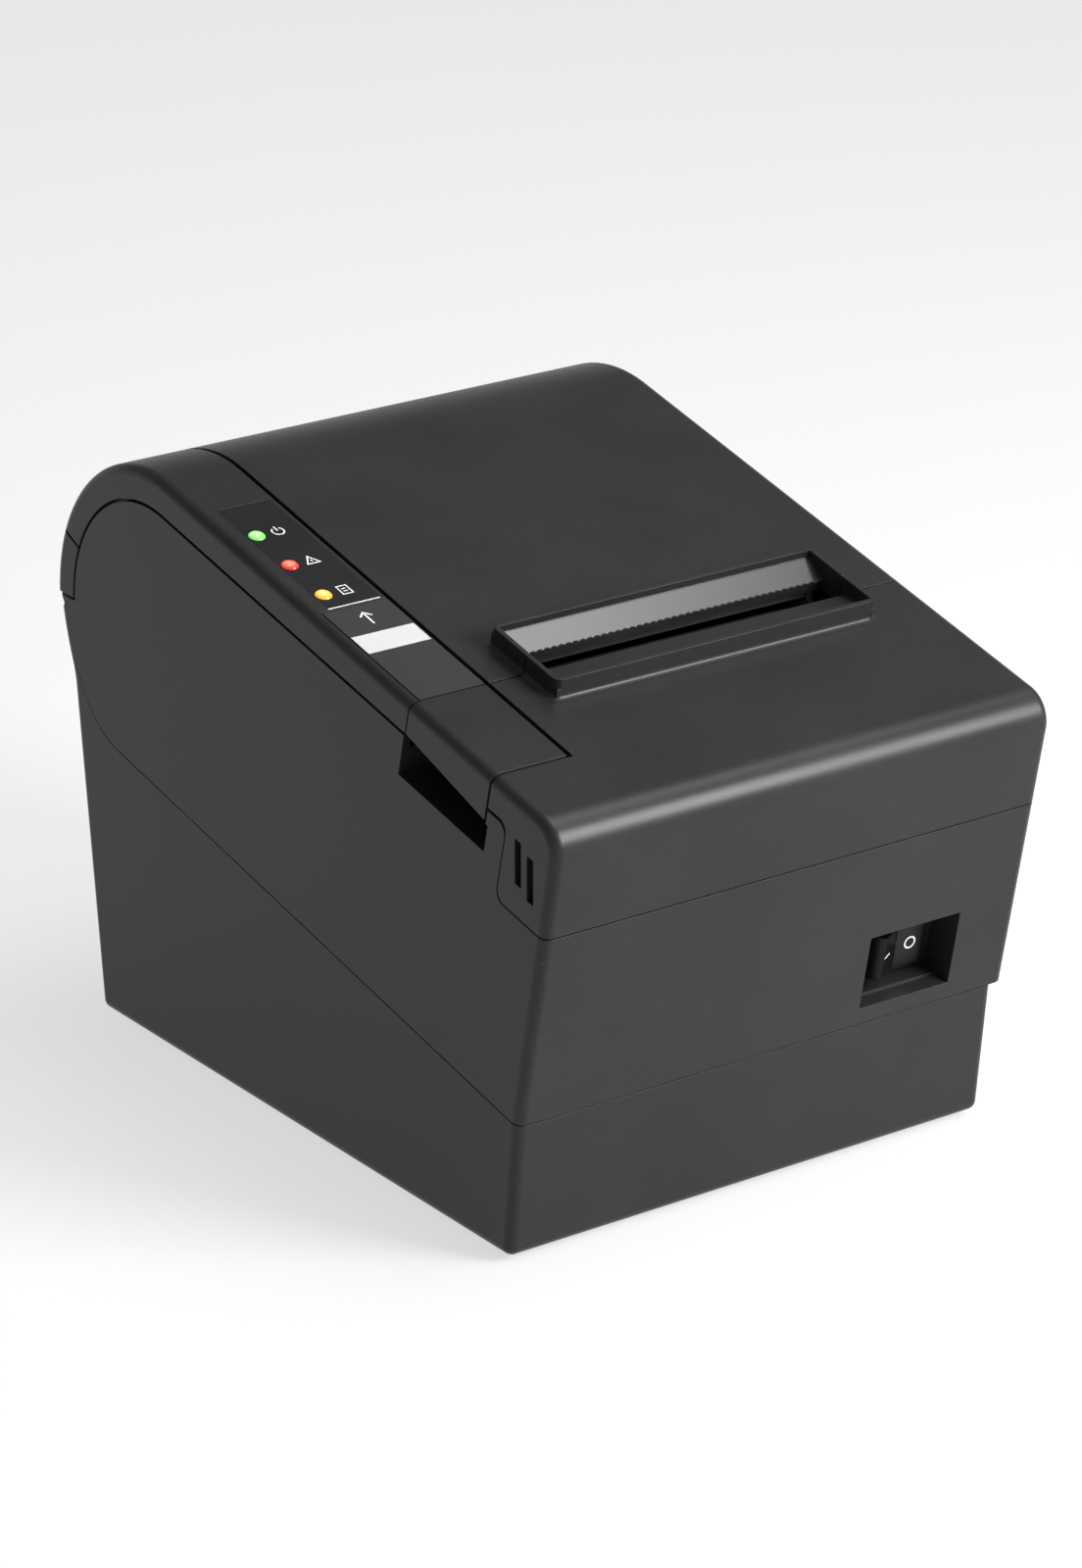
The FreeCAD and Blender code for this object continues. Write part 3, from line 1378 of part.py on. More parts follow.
def flat_prism(corners, w_low, w_high):
    """Prism square to the roof from corners (x, along)."""
    points = [vec(roof(along, w_high), x) for x, along in corners]
    face = Part.Face(Part.makePolygon(points + points[:1]))
    return face.extrude(vec(roof(0, w_low)) - vec(roof(0, w_high)))


def moving_blade():
    """Vee-edged blade with a slot whose left side is a rack."""
    half = blade_length / 2
    left = exit_x - half
    right = exit_x + half
    low = blade_w
    high = blade_w + blade_thickness
    plate = flat_prism([(left, blade_front_u), (right, blade_front_u), (right, blade_edge_u),
                        (exit_x, blade_edge_u - blade_vee), (left, blade_edge_u)], low, high)
    slot_left = rack_x - cutter_radius - dedendum
    slot_rear = rack_u + cutter_radius + addendum + slot_clearance
    slot_front = rack_u - cutter_radius - addendum - slot_clearance - blade_stroke
    slot_right = slot_left + rack_slot_width
    slot = flat_prism([(slot_left, slot_front), (slot_right, slot_front), (slot_right, slot_rear),
                       (slot_left, slot_rear)], low - blade_gap, high + blade_gap)
    teeth = []
    half_root = rack_pitch / 4 - gear_backlash / 2 + dedendum * pressure
    half_tip = rack_pitch / 4 - gear_backlash / 2 - addendum * pressure
    tip = slot_left + dedendum + addendum
    for index in range(-rack_teeth_front, rack_teeth_rear):
        middle = rack_u + (index + 0.5) * rack_pitch
        teeth.append(flat_prism([(slot_left - cut_margin, middle - half_root), (tip, middle - half_tip),
                                 (tip, middle + half_tip), (slot_left - cut_margin, middle + half_root)],
                                 low, high))
    return fuse([plate.cut(slot)] + teeth)


parts["moving_blade"] = moving_blade()


def cutter_pinion():
    """Pinion of the blade's rack, with its shaft down into the cutter motor."""
    points = []
    half_pitch = math.pi * gear_module / 4 - gear_backlash / 2
    for tooth in range(cutter_teeth):
        middle = math.pi + 2 * math.pi * tooth / cutter_teeth
        for side, radius in ((-1, cutter_radius - dedendum), (-1, cutter_radius + addendum),
                             (1, cutter_radius + addendum), (1, cutter_radius - dedendum)):
            angle = middle + side * (half_pitch - (radius - cutter_radius) * pressure) / radius
            points.append((rack_x + radius * math.cos(angle), rack_u + radius * math.sin(angle)))
    wheel = flat_prism(points, blade_w - pinion_proud, blade_w + blade_thickness + blade_gap / 2)
    shaft = roof_bar(rack_u, rack_x, motor_shaft_radius, blade_w - pinion_proud, bed_top + motor_shaft_depth)
    return fuse([wheel, shaft])


parts["cutter_pinion"] = cutter_pinion()


def cutter_bed():
    """Plate that the moving blade slides on, fixed between the side plates."""
    bed = roof_box(blade_front_u - bed_margin / 2, floor_rear_u - bed_rear, bed_top,
                   bed_top + plate_thickness,
                   frame_left + plate_thickness, frame_right - plate_thickness)
    return bed.cut(roof_bar(rack_u, rack_x, motor_shaft_radius + running_fit, 0, far))


parts["cutter_bed"] = cutter_bed()
parts["cutter_motor"] = roof_bar(rack_u, rack_x, cutter_motor_radius, bed_top + plate_thickness,
                                 bed_top + plate_thickness + cutter_motor_length).cut(
    roof_bar(rack_u, rack_x, motor_shaft_radius + running_fit, 0,
             bed_top + plate_thickness + motor_shaft_depth))


def paper_bucket():
    """Round-bottomed tub for the paper roll, with a front lip towards the platen and two feet."""
    inner = roll_radius + bucket_clearance
    outer = inner + bucket_wall
    centre = (bucket_y, bucket_z)
    tub = bar_x(centre, outer, bucket_left, bucket_right)
    upper = box(bucket_left, bucket_right, bucket_y - outer, bucket_y + outer, bucket_z, bucket_lip_z)
    room = bar_x(centre, inner, bucket_left + bucket_wall, bucket_right - bucket_wall)
    upper_room = box(bucket_left + bucket_wall, bucket_right - bucket_wall, bucket_y - inner,
                     bucket_y + inner,
                     bucket_z, far)
    tub = fuse([tub.common(box(-far, far, -far, far, 0, bucket_z)), upper]).cut(fuse([room, upper_room]))
    pieces = [tub]
    floor = foot_height + floor_thickness + bucket_boss
    for x in (bucket_left + bucket_leg_inset, bucket_right - bucket_leg_inset):
        pieces.append(post(x, bucket_y, leg_radius, floor, bucket_z - inner - bucket_wall / 2))
    return fuse(pieces)


parts["paper_bucket"] = paper_bucket()

os.makedirs("parts", exist_ok=True)
for name, shape in parts.items():
    if not shape.isValid():
        print("invalid", name)
    shape.exportStep("parts/" + name + ".step")
    print(name, len(shape.Solids), round(shape.Volume, 1))
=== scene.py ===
import math
import bpy
import numpy as np
from mathutils import Matrix, Vector


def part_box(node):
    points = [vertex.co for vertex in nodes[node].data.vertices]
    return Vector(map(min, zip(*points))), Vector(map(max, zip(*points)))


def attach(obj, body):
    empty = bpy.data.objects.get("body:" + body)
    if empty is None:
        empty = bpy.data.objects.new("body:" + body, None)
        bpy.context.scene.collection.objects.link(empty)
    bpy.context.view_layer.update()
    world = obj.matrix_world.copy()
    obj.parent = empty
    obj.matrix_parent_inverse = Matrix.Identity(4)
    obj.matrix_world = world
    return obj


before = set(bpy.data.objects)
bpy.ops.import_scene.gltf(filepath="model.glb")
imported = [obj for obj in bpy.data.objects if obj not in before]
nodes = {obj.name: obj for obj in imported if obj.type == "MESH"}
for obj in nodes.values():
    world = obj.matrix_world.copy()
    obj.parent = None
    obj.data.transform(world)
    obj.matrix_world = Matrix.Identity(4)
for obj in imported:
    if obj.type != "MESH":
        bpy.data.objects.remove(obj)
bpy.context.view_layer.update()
scene = bpy.context.scene
mm = 0.001

# side profile in millimetres: roof slope, split of the two covers, rear arc, nose round and front face
profile = {"slope": math.radians(13.2), "splitY": -48.3, "rearY": 61.0, "rearZ": 106.0, "rearRadius": 42.0,
           "noseRadius": 8.0, "noseTipY": -103.0, "frontLean": math.radians(11.5)}
cosRoof = math.cos(profile["slope"])
sinRoof = math.sin(profile["slope"])
cosFront = math.cos(profile["frontLean"])
sinFront = math.sin(profile["frontLean"])
roofLevel = profile["rearRadius"] - sinRoof * profile["rearY"] + cosRoof * profile["rearZ"]
splitZ = (roofLevel + sinRoof * profile["splitY"]) / cosRoof
noseY = profile["noseRadius"] + profile["noseTipY"]
noseZ = (roofLevel - profile["noseRadius"] + sinRoof * noseY) / cosRoof
frontLevel = profile["noseRadius"] - cosFront * noseY - sinFront * noseZ


# Point on the roof: the split point plus u along the slope and lift along the roof's normal
def roofPoint(x, u, lift):
    x, u = np.broadcast_arrays(np.asarray(x, float), np.asarray(u, float))
    y = profile["splitY"] + u * cosRoof - lift * sinRoof
    z = splitZ + u * sinRoof + lift * cosRoof
    return np.stack([x, y, z], -1) * mm


# a shader socket with arithmetic
class Val:
    def __init__(self, tree, socket):
        self.tree = tree
        self.socket = socket

    # any node: settings by attribute, inputs by name or index, one output
    def make(self, kind, inputs, out=0, **settings):
        node = self.tree.nodes.new(kind)
        for key, value in settings.items():
            setattr(node, key, value)
        for key, value in inputs.items():
            if isinstance(value, Val):
                self.tree.links.new(value.socket, node.inputs[key])
            else:
                node.inputs[key].default_value = value
        return Val(self.tree, node.outputs[out])

    def math(self, operation, first, second):
        return self.make("ShaderNodeMath", {0: first, 1: second}, operation=operation)

    def __add__(self, other):
        return self.math("ADD", self, other)

    def __radd__(self, other):
        return self.math("ADD", other, self)

    def __mul__(self, other):
        return self.math("MULTIPLY", self, other)

    def __rmul__(self, other):
        return self.math("MULTIPLY", other, self)

    # smooth step from a to b while this value runs from low to high
    def ramp(self, low, high, a=0.0, b=1.0):
        return self.make("ShaderNodeMapRange", {0: self, 1: low, 2: high, 3: a, 4: b},
                         interpolation_type="SMOOTHSTEP")

    def noise(self, scale, detail=2.0, rough=0.5):
        return self.make("ShaderNodeTexNoise",
                         {"Vector": self, "Scale": scale, "Detail": detail, "Roughness": rough})

    def stretch(self, x, y, z):
        return self.make("ShaderNodeVectorMath", {0: self, 1: (x, y, z)}, operation="MULTIPLY")

    # colour between two, by this factor
    def tint(self, a, b):
        return self.make("ShaderNodeMix", {0: self, 6: a, 7: b}, out=2, data_type="RGBA")

    def bump(self, strength, distance, **base):
        return self.make("ShaderNodeBump",
                         {"Height": self, "Strength": strength, "Distance": distance, **base})


# opaque colour
def rgb(red, green, blue):
    return (red, green, blue, 1.0)


# colour with three equal parts
def grey(level):
    return rgb(level, level, level)


# colour with each part cut down to a share
def darken(colour, share):
    return rgb(*(part * share for part in colour[:3]))


# new material: its shader node and its object coordinates
def startMaterial(name, **constants):
    material = bpy.data.materials.new(name)
    material.use_nodes = True
    tree = material.node_tree
    shader = tree.nodes["Principled BSDF"]
    for key, value in constants.items():
        shader.inputs[key.replace("_", " ")].default_value = value
    place = Val(tree, tree.nodes.new("ShaderNodeTexCoord").outputs["Object"])
    return material, shader, place


# links values to a shader's inputs, where _ stands for a space in the input's name
def feed(shader, **values):
    for key, value in values.items():
        value.tree.links.new(value.socket, shader.inputs[key.replace("_", " ")])


# in the dictionaries of looks, a noise is its grains to the metre, detail and roughness; depths are in metres
mould = {"fine": (2600.0, 2.0, 0.6), "middle": (700.0, 3.0, 0.55), "slow": (26.0, 4.0, 0.55),
         "speck": (1500.0, 1.0), "speckRange": (0.70, 0.78), "dustColour": grey(0.35),
         "shadeSlow": 0.55, "shadeMiddle": 0.25, "shadeFine": 0.2, "shadeRange": (0.32, 0.68),
         "glossShift": -0.05, "glossSlow": 0.1, "glossMiddle": 0.04,
         "reliefFine": 0.7, "reliefMiddle": 0.3, "reliefDepth": 0.00006, "edgeSamples": 6}


# Moulded plastic: fine eroded grain, slow changes of shade and gloss, a little dust, rounded edges
def plastic(name, low, high, rough, grain, dust=0.0, edge=0.0, **constants):
    material, shader, place = startMaterial(name, **constants)
    rounded = {}
    if edge:
        rounded["Normal"] = place.make("ShaderNodeBevel", {"Radius": edge}, samples=mould["edgeSamples"])
    fine = place.noise(*mould["fine"])
    middle = place.noise(*mould["middle"])
    slow = place.noise(*mould["slow"])
    speck = place.noise(*mould["speck"]).ramp(*mould["speckRange"])
    mixed = slow * mould["shadeSlow"] + middle * mould["shadeMiddle"] + fine * mould["shadeFine"]
    shade = mixed.ramp(*mould["shadeRange"])
    colour = (speck * dust).tint(shade.tint(low, high), mould["dustColour"])
    gloss = rough + mould["glossShift"] + slow * mould["glossSlow"] + middle * mould["glossMiddle"]
    relief = fine * mould["reliefFine"] + middle * mould["reliefMiddle"]
    normal = relief.bump(grain, mould["reliefDepth"], **rounded)
    feed(shader, Base_Color=colour, Roughness=gloss, Normal=normal)
    return material


brushed = {"lines": (900.0, 3.0, 0.6), "slow": (40.0, 3.0), "shadeLines": 0.6, "shadeSlow": 0.4,
           "shadeRange": (0.3, 0.7), "darkest": 0.82, "glossLines": 0.14, "glossSlow": 0.08,
           "reliefStrength": 0.12, "reliefDepth": 0.00003}


# Metal: fine lines drawn along one axis, with slow changes of gloss
def metal(name, colour, rough, lines):
    material, shader, place = startMaterial(name, Metallic=1.0)
    drawn = place.stretch(*lines).noise(*brushed["lines"])
    slow = place.noise(*brushed["slow"])
    shade = (drawn * brushed["shadeLines"] + slow * brushed["shadeSlow"]).ramp(*brushed["shadeRange"])
    feed(shader, Base_Color=shade.tint(darken(colour, brushed["darkest"]), colour),
         Roughness=rough + drawn * brushed["glossLines"] + slow * brushed["glossSlow"],
         Normal=drawn.bump(brushed["reliefStrength"], brushed["reliefDepth"]))
    return material


# the glow's heart in metres: how far behind the lamp's front edge, where its fading starts and ends
lens = {"heartInset": 0.002, "fadeStart": 0.0003, "fadeEnd": 0.0021, "grain": (1800.0, 2.0),
        "darkest": 0.55, "sparkle": 0.05}


# Lit lamp: brightest at the heart of its glow, darker at the rim
def lampGlass(name, colour, glow, centre):
    material, shader, place = startMaterial(name, Roughness=0.22, Emission_Strength=1.0, Coat_Weight=0.4)
    offset = place.make("ShaderNodeVectorMath", {0: place, 1: tuple(centre)}, operation="DISTANCE", out=1)
    heart = offset.ramp(lens["fadeStart"], lens["fadeEnd"], 1.0, 0.0)
    grains = place.noise(*lens["grain"])
    feed(shader, Base_Color=grains.tint(darken(colour, lens["darkest"]), colour),
         Emission_Color=(heart + grains * lens["sparkle"]).tint(colour, glow))
    return material


laminate = {"weave": (1400.0, 1.0), "weaveStretch": (1.0, 1.0, 0.1), "cells": 260.0,
            "trackRange": (0.03, 0.06), "track": rgb(0.05, 0.2, 0.09), "lacquer": rgb(0.025, 0.12, 0.055),
            "rough": 0.3, "glossWeave": 0.15, "reliefStrength": 0.1, "reliefDepth": 0.00003}


# Circuit board: lacquer over woven glass, with faint tracks
def boardLaminate(name):
    material, shader, place = startMaterial(name, Coat_Weight=0.3)
    weave = place.stretch(*laminate["weaveStretch"]).noise(*laminate["weave"])
    cells = place.make("ShaderNodeTexVoronoi", {"Vector": place, "Scale": laminate["cells"]},
                       feature="DISTANCE_TO_EDGE")
    colour = cells.ramp(*laminate["trackRange"]).tint(laminate["track"], laminate["lacquer"])
    feed(shader, Base_Color=colour, Roughness=laminate["rough"] + weave * laminate["glossWeave"],
         Normal=weave.bump(laminate["reliefStrength"], laminate["reliefDepth"]))
    return material


print("stage: materials")
# darkest and lightest shade, roughness, strength of the grain, dust, radius of the edges in metres
plastics = {
    "casePlastic": {"low": rgb(0.0135, 0.0137, 0.0145), "high": rgb(0.0185, 0.0187, 0.0197), "rough": 0.34,
                    "grain": 0.14, "dust": 0.05, "edge": 0.0003, "Specular_IOR_Level": 0.24},
    "keyPlastic": {"low": rgb(0.012, 0.0122, 0.013), "high": rgb(0.0165, 0.0167, 0.0178), "rough": 0.44,
                   "grain": 0.14, "dust": 0.04},
    "filmPlastic": {"low": rgb(0.008, 0.0082, 0.009), "high": rgb(0.011, 0.0112, 0.012), "rough": 0.36,
                    "grain": 0.05, "dust": 0.02, "edge": 0.0002, "Specular_IOR_Level": 0.2},
    "switchPlastic": {"low": rgb(0.003, 0.003, 0.0033), "high": rgb(0.005, 0.005, 0.0054), "rough": 0.3,
                      "grain": 0.05, "dust": 0.02, "edge": 0.0003, "Specular_IOR_Level": 0.22},
    "slabPlastic": {"low": rgb(0.016, 0.016, 0.0175), "high": rgb(0.02, 0.02, 0.0215), "rough": 0.21,
                    "grain": 0.03, "dust": 0.02, "Specular_IOR_Level": 0.8},
    "innerPlastic": {"low": rgb(0.014, 0.014, 0.015), "high": rgb(0.02, 0.02, 0.021), "rough": 0.55,
                     "grain": 0.2},
    "gearPlastic": {"low": rgb(0.58, 0.57, 0.52), "high": rgb(0.68, 0.67, 0.62), "rough": 0.42,
                    "grain": 0.06},
    "rubber": {"low": grey(0.012), "high": grey(0.02), "rough": 0.72, "grain": 0.3, "dust": 0.1},
    "headGlaze": {"low": rgb(0.5, 0.48, 0.42), "high": rgb(0.6, 0.58, 0.52), "rough": 0.25, "grain": 0.03},
    "printWhite": {"low": grey(0.62), "high": grey(0.72), "rough": 0.5, "grain": 0.03},
    "printPatch": {"low": grey(0.45), "high": grey(0.51), "rough": 0.5, "grain": 0.05},
}
# colour, roughness, stretch of the drawn lines
metals = {
    "steel": {"colour": rgb(0.62, 0.63, 0.65), "rough": 0.22, "lines": (0.05, 1.0, 1.0)},
    "darkSteel": {"colour": rgb(0.12, 0.12, 0.125), "rough": 0.3, "lines": (0.05, 1.0, 1.0)},
    "platedSteel": {"colour": rgb(0.6, 0.6, 0.58), "rough": 0.34, "lines": (1.0, 0.1, 1.0)},
    "aluminium": {"colour": rgb(0.72, 0.73, 0.75), "rough": 0.32, "lines": (0.06, 1.0, 1.0)},
    "brass": {"colour": rgb(0.75, 0.58, 0.27), "rough": 0.28, "lines": (1.0, 1.0, 0.1)},
}
looks = {name: plastic(name, **look) for name, look in plastics.items()}
looks.update({name: metal(name, **look) for name, look in metals.items()})
looks["board"] = boardLaminate("board")

# the CAD nodes that wear each look
wears = {
    "casePlastic": ["lower_case", "upper_case", "front_cover", "roll_cover", "control_strip",
                    "release_lever"],
    "keyPlastic": ["feed_key"],
    "filmPlastic": ["panel_film"],
    "switchPlastic": ["power_rocker", "switch_body"],
    "innerPlastic": ["power_inlet", "drawer_socket", "feed_switch", "platen_holder", "paper_bucket"],
    "gearPlastic": ["platen_gear", "idler_gear", "platen_bushings"],
    "rubber": ["rubber_feet", "platen_roller"],
    "headGlaze": ["print_head"],
    "darkSteel": ["tear_bar"],
    "steel": ["lever_pin", "hinge_pins", "platen_shaft", "idler_axle", "motor_shaft", "head_springs",
              "fixed_blade", "moving_blade"],
    "platedSteel": ["network_socket", "data_socket", "case_screws", "feed_motor", "print_frame", "cutter_bed",
                    "cutter_motor"],
    "aluminium": ["heat_sink"],
    "brass": ["motor_pinion", "cutter_pinion"],
    "board": ["main_board", "panel_board"],
}
lamps = {
    "paper_lamp": {"colour": rgb(0.9, 0.3, 0.02), "glow": rgb(1.0, 0.75, 0.35)},
    "error_lamp": {"colour": rgb(0.75, 0.02, 0.015), "glow": rgb(1.0, 0.45, 0.3)},
    "power_lamp": {"colour": rgb(0.12, 0.6, 0.08), "glow": rgb(0.75, 1.0, 0.55)},
}


# one material on the whole piece
def dress(piece, material):
    piece.data.materials.clear()
    piece.data.materials.append(material)


for look, names in wears.items():
    for name in names:
        dress(nodes[name], looks[look])
for name, tones in lamps.items():
    low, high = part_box(name)
    crown = Vector(((low.x + high.x) / 2, low.y + lens["heartInset"], high.z))
    dress(nodes[name], lampGlass(name, tones["colour"], tones["glow"], crown))


# Mesh of four-cornered faces from arrays of points and indices
def addPiece(name, points, faces, body, look):
    mesh = bpy.data.meshes.new(name)
    mesh.from_pydata(np.asarray(points).reshape(-1, 3).tolist(), [], np.asarray(faces).tolist())
    mesh.update()
    piece = bpy.data.objects.new(name, mesh)
    scene.collection.objects.link(piece)
    dress(piece, looks[look])
    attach(piece, body)


# Faces of a grid: each cell joins a point, its right neighbour and the two in the next row
def gridFaces(rows, columns):
    cell = np.arange(rows - 1)[:, None] * columns + np.arange(columns - 1)[None, :]
    return np.stack([cell, cell + 1, cell + columns + 1, cell + columns], -1).reshape(-1, 4)


# Printed stroke: each point of a line is moved half the width to both sides along the mean normal there
def stroke(line, width, closed):
    line = np.asarray(line, float)
    ahead = np.roll(line, -1, 0) - line
    behind = line - np.roll(line, 1, 0)
    if not closed:
        ahead[-1] = behind[-1]
        behind[0] = ahead[0]
    ahead /= np.linalg.norm(ahead, axis=1, keepdims=True)
    behind /= np.linalg.norm(behind, axis=1, keepdims=True)
    mean = ahead + behind
    mean /= np.linalg.norm(mean, axis=1, keepdims=True)
    side = np.stack([-mean[:, 1], mean[:, 0]], -1) * (width / 2 / np.sum(mean * ahead, 1, keepdims=True))
    count = len(line)
    first = np.arange(count if closed else count - 1)
    after = (first + 1) % count
    faces = np.stack([first, first + count, after + count, after], -1)
    return np.concatenate([line - side, line + side]), faces


# Arc as a line of points: centre plus radius times cosine and sine, from start to end in degrees
def arc(x, u, radius, start, end, count):
    turn = np.radians(np.linspace(start, end, count))
    return np.stack([x + radius * np.cos(turn), u + radius * np.sin(turn)], -1)


# Full circle: an arc without its last point, which is the first one again
def circle(x, u, radius, count):
    return arc(x, u, radius, 0.0, 360.0, count + 1)[:-1]


print("stage: printing")
# strokes as a line of x and u in millimetres, its width, and whether it closes
printing = {
    "base": {
        "lift": 0.03, "slot": "panel_film",
        "strokes": [
            ([(-65.0, 40.75), (-50.8, 40.75)], 0.35, False),  # rule beside the key
            (arc(-56.6, 74.8, 1.5, 125, 415, 24), 0.4, False),  # power sign
            ([(-56.6, 74.9), (-56.6, 76.9)], 0.4, False),
            ([(-58.3, 59.4), (-54.9, 59.4), (-56.6, 62.4)], 0.4, True),  # error sign
            ([(-56.6, 60.9), (-56.6, 60.1)], 0.35, False),
            ([(-57.9, 45.0), (-55.3, 45.0), (-55.3, 48.4), (-57.9, 48.4)], 0.35, True),  # paper sign
            ([(-57.2, 46.2), (-56.0, 46.2)], 0.3, False),
            ([(-57.2, 47.2), (-56.0, 47.2)], 0.3, False),
        ],
    },
    "key": {
        "lift": 0.03, "slot": "key_plastic",
        "strokes": [
            ([(-58.4, 31.6), (-58.4, 36.6)], 0.45, False),  # feed arrow
            ([(-60.0, 34.9), (-58.4, 36.6), (-56.8, 34.9)], 0.45, False),
        ],
    },
}
for body, sheet in printing.items():
    points = []
    faces = []
    total = 0
    for line, width, closed in sheet["strokes"]:
        made, quads = stroke(line, width, closed)
        points.append(roofPoint(made[:, 0], made[:, 1], sheet["lift"]))
        faces.append(quads + total)
        total += len(made)
    addPiece(body + "Printing", np.concatenate(points), np.concatenate(faces), body,
             "printWhite")

# pale patch on the key
patch = {"left": -67.0, "right": -50.0, "front": 20.9, "rear": 28.3, "lift": 0.03, "columns": 9, "rows": 5}
across, along = np.meshgrid(np.linspace(patch["left"], patch["right"], patch["columns"]),
                            np.linspace(patch["front"], patch["rear"], patch["rows"]))
addPiece("keyPatch", roofPoint(across, along, patch["lift"]), gridFaces(patch["rows"], patch["columns"]),
         "key", "printPatch")

print("stage: exit guide")
# smooth guide plate on the slope inside the paper exit
guide = {"left": -37.6, "right": 51.0, "frontU": 6.45, "rearU": 12.8, "frontLift": 0.385, "rearLift": 3.195,
         "columns": 25, "rows": 4}
across, share = np.meshgrid(np.linspace(guide["left"], guide["right"], guide["columns"]),
                            np.linspace(0.0, 1.0, guide["rows"]))
guideU = guide["frontU"] + share * (guide["rearU"] - guide["frontU"])
guideLift = guide["frontLift"] + share * (guide["rearLift"] - guide["frontLift"])
addPiece("exitGuide", roofPoint(across, guideU, guideLift), gridFaces(guide["rows"], guide["columns"]),
         "cover", "slabPlastic")

print("stage: rocker marks")
# rocker faces: the pressed half lies flush, the other is raised by twice the half angle
rocker = {"x": 39.1, "z": 49.2, "flush": 6.3, "valley": 3.0, "half": math.radians(14.5), "lift": 0.04,
          "ringRadius": 1.45, "ringAt": 4.2, "ringPoints": 28, "barAt": -5.0, "barHalf": 1.5, "width": 0.45}
rockerY = (-frontLevel - sinFront * rocker["z"]) / cosFront


# Point on a rocker face: a distance from the valley along the face, turned by its tilt, set into the front
def rockerPoint(line, tilt):
    across, up = line.T
    valleyX = rocker["valley"] * math.sin(rocker["half"])
    x = valleyX + across * math.cos(tilt) - rocker["lift"] * math.sin(tilt)
    depth = rocker["flush"] + across * math.sin(tilt) - rocker["lift"] * math.cos(tilt)
    y = rockerY - up * sinFront + depth * cosFront
    z = rocker["z"] + up * cosFront + depth * sinFront
    return np.stack([rocker["x"] + x, y, z], -1) * mm


ring = circle(rocker["ringAt"], 0.0, rocker["ringRadius"], rocker["ringPoints"])
bar = [(rocker["barAt"] - rocker["barHalf"], 0.0), (rocker["barAt"] + rocker["barHalf"], 0.0)]
ringLine, ringFaces = stroke(ring, rocker["width"], True)
barLine, barFaces = stroke(bar, rocker["width"], False)
markPoints = np.concatenate([rockerPoint(ringLine, 0.0), rockerPoint(barLine, 2 * rocker["half"])])
markFaces = np.concatenate([ringFaces, barFaces + len(ringLine)])
addPiece("rockerMarks", markPoints, markFaces, "rocker", "printWhite")

print("stage: socket contacts")
# rows of contacts and single bars by their socket, in millimetres; near and far are depths from its mouth
contactRows = {
    "network_socket": {"count": 8, "pitch": 1.02, "width": 0.5, "mouth": 8.2, "near": 1.6, "far": 9.4,
                       "drop": 3.4, "gap": 0.05, "stations": 9},
    "drawer_socket": {"count": 6, "pitch": 1.02, "width": 0.5, "mouth": 7.0, "near": 1.6, "far": 9.4,
                      "drop": 2.8, "gap": 0.05, "stations": 9},
}
mouthBars = {
    "data_socket": {"piece": "dataTongue", "slot": "inner_plastic", "look": "printWhite", "corners": 4,
                    "near": 2.0, "far": 11.0, "tip": 0.4, "nose": 0.9, "halfWidth": 4.0, "halfHeight": 2.3},
    "power_inlet": {"piece": "inletPin", "slot": "steel", "look": "steel", "corners": 20,
                    "near": 2.2, "far": 11.0, "tip": 0.6, "nose": 0.5, "halfWidth": 1.05, "halfHeight": 1.05},
}


# Row of sprung contacts: each strip leaves the roof of the mouth and sinks by a quarter sine on its way in
def contactRow(name, row):
    low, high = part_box(name)
    roofZ = (low.z + high.z + row["mouth"] * mm) / 2 - row["gap"] * mm
    strip, share, side = np.meshgrid(np.arange(row["count"]), np.linspace(0.0, 1.0, row["stations"]),
                                     [-0.5, 0.5], indexing="ij")
    fromMiddle = (strip - (row["count"] - 1) / 2) * row["pitch"] + side * row["width"]
    x = (low.x + high.x) / 2 + fromMiddle * mm
    y = high.y - (row["near"] + share * (row["far"] - row["near"])) * mm
    z = roofZ - row["drop"] * mm * np.sin(share * math.pi / 2)
    start = np.arange(row["count"])[:, None, None] * row["stations"] * 2
    faces = (gridFaces(row["stations"], 2)[None] + start).reshape(-1, 4)
    addPiece(name + "Contacts", np.stack([x, y, z], -1), faces, "base", "brass")


# Bar inside a mouth: a ring of corners, closed at the nose, widened over the tip and carried to the far end
def mouthBar(name, form):
    low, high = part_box(name)
    turn = (np.arange(form["corners"]) + 0.5) / form["corners"] * 2 * math.pi
    depth = np.array([form["near"], form["near"], form["near"] + form["tip"], form["far"]])
    size = np.array([0.0, form["nose"], 1.0, 1.0])
    x = (low.x + high.x) / 2 + size[:, None] * form["halfWidth"] * mm * np.cos(turn)[None, :]
    z = (low.z + high.z) / 2 + size[:, None] * form["halfHeight"] * mm * np.sin(turn)[None, :]
    y = np.broadcast_to((high.y - depth * mm)[:, None], x.shape)
    ringAt, corner = np.meshgrid(np.arange(len(depth) - 1), np.arange(form["corners"]), indexing="ij")
    after = (corner + 1) % form["corners"]
    starts = np.stack([ringAt, ringAt, ringAt + 1, ringAt + 1], -1) * form["corners"]
    faces = (starts + np.stack([corner, after, after, corner], -1)).reshape(-1, 4)
    addPiece(form["piece"], np.stack([x, y, z], -1), faces, "base", form["look"])


for name, row in contactRows.items():
    contactRow(name, row)
for name, form in mouthBars.items():
    mouthBar(name, form)

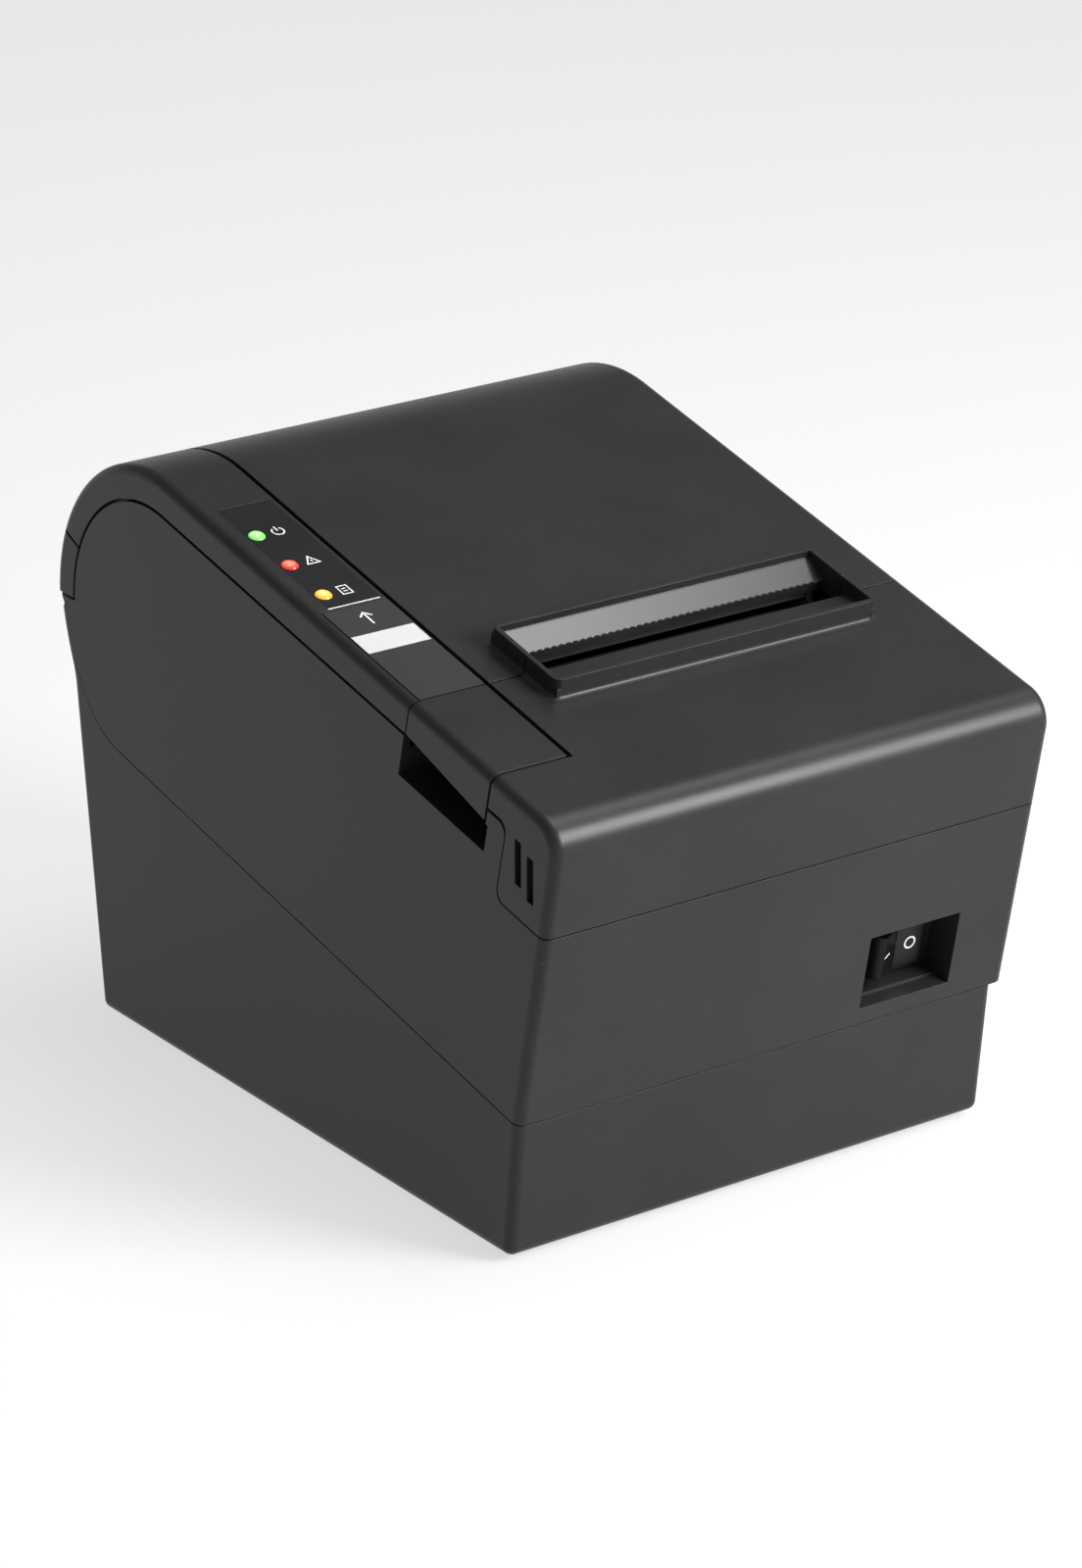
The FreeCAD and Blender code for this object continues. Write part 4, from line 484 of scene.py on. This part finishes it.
print("stage: floor, light and camera")
ground = {"half": 6.0, "low": grey(0.25), "high": grey(0.27), "glow": 0.64, "grain": (300.0, 2.0),
          "rough": 0.75, "glossGrain": 0.1}
half = ground["half"]
floorCorners = [(-half, -half, 0), (half, -half, 0), (half, half, 0), (-half, half, 0)]
floorMesh = bpy.data.meshes.new("floor")
floorMesh.from_pydata(floorCorners, [], [(0, 1, 2, 3)])
floor = bpy.data.objects.new("floor", floorMesh)
scene.collection.objects.link(floor)
floorLook, floorShader, floorPlace = startMaterial("floorPaper", Emission_Color=grey(1.0),
                                                   Emission_Strength=ground["glow"])
floorGrain = floorPlace.noise(*ground["grain"])
feed(floorShader, Base_Color=floorGrain.tint(ground["low"], ground["high"]),
     Roughness=ground["rough"] + floorGrain * ground["glossGrain"])
dress(floor, floorLook)

# surroundings: bright near the horizon, darker overhead
studio = {"horizon": grey(0.65), "zenith": grey(0.22), "from": 0.05, "to": 0.45, "strength": 1.0}
world = bpy.data.worlds.new("studio")
scene.world = world
world.use_nodes = True
backdrop = world.node_tree.nodes["Background"]
sky = Val(world.node_tree, world.node_tree.nodes.new("ShaderNodeTexCoord").outputs["Generated"])
height = sky.make("ShaderNodeSeparateXYZ", {0: sky}, out=2)
feed(backdrop, Color=height.ramp(studio["from"], studio["to"]).tint(studio["horizon"], studio["zenith"]))
backdrop.inputs["Strength"].default_value = studio["strength"]

# place, aim and size in metres, power in watts
softboxes = {
    "key": {"at": (0.33, -0.16, 1.2), "to": (0.0, -0.03, 0.12), "size": (0.75, 0.75), "power": 9.5},
    "front": {"at": (0.35, -1.4, 0.75), "to": (0.0, -0.05, 0.06), "size": (0.9, 0.7), "power": 4.0},
    "edge": {"at": (0.46, -0.78, 0.56), "to": (-0.02, -0.09, 0.12), "size": (0.44, 0.44), "power": 15.5},
}
for name, made in softboxes.items():
    light = bpy.data.lights.new(name, "AREA")
    light.shape = "RECTANGLE"
    light.size, light.size_y = made["size"]
    light.energy = made["power"]
    lightObject = bpy.data.objects.new(name, light)
    scene.collection.objects.link(lightObject)
    way = Vector(made["to"]) - Vector(made["at"])
    aimed = way.to_track_quat("-Z", "Y").to_matrix().to_4x4()
    lightObject.matrix_world = Matrix.Translation(made["at"]) @ aimed

# the camera stands where the photograph was taken from, and "back" points from the object to it
shot = {"eye": (-0.730773, -1.014134, 0.567403), "back": (-0.54386, -0.75413, 0.36810), "lens": 129.95,
        "sensor": 36.0, "near": 0.01}
cameraData = bpy.data.cameras.new("camera")
cameraData.lens = shot["lens"]
cameraData.sensor_width = shot["sensor"]
cameraData.sensor_fit = "AUTO"
cameraData.clip_start = shot["near"]
camera = bpy.data.objects.new("camera", cameraData)
scene.collection.objects.link(camera)
backWay = Vector(shot["back"]).normalized()
rightWay = Vector((0.0, 0.0, 1.0)).cross(backWay).normalized()
upWay = backWay.cross(rightWay)
turned = Matrix((rightWay, upWay, backWay)).transposed().to_4x4()
camera.matrix_world = Matrix.Translation(shot["eye"]) @ turned
scene.camera = camera
scene.view_settings.view_transform = "Standard"
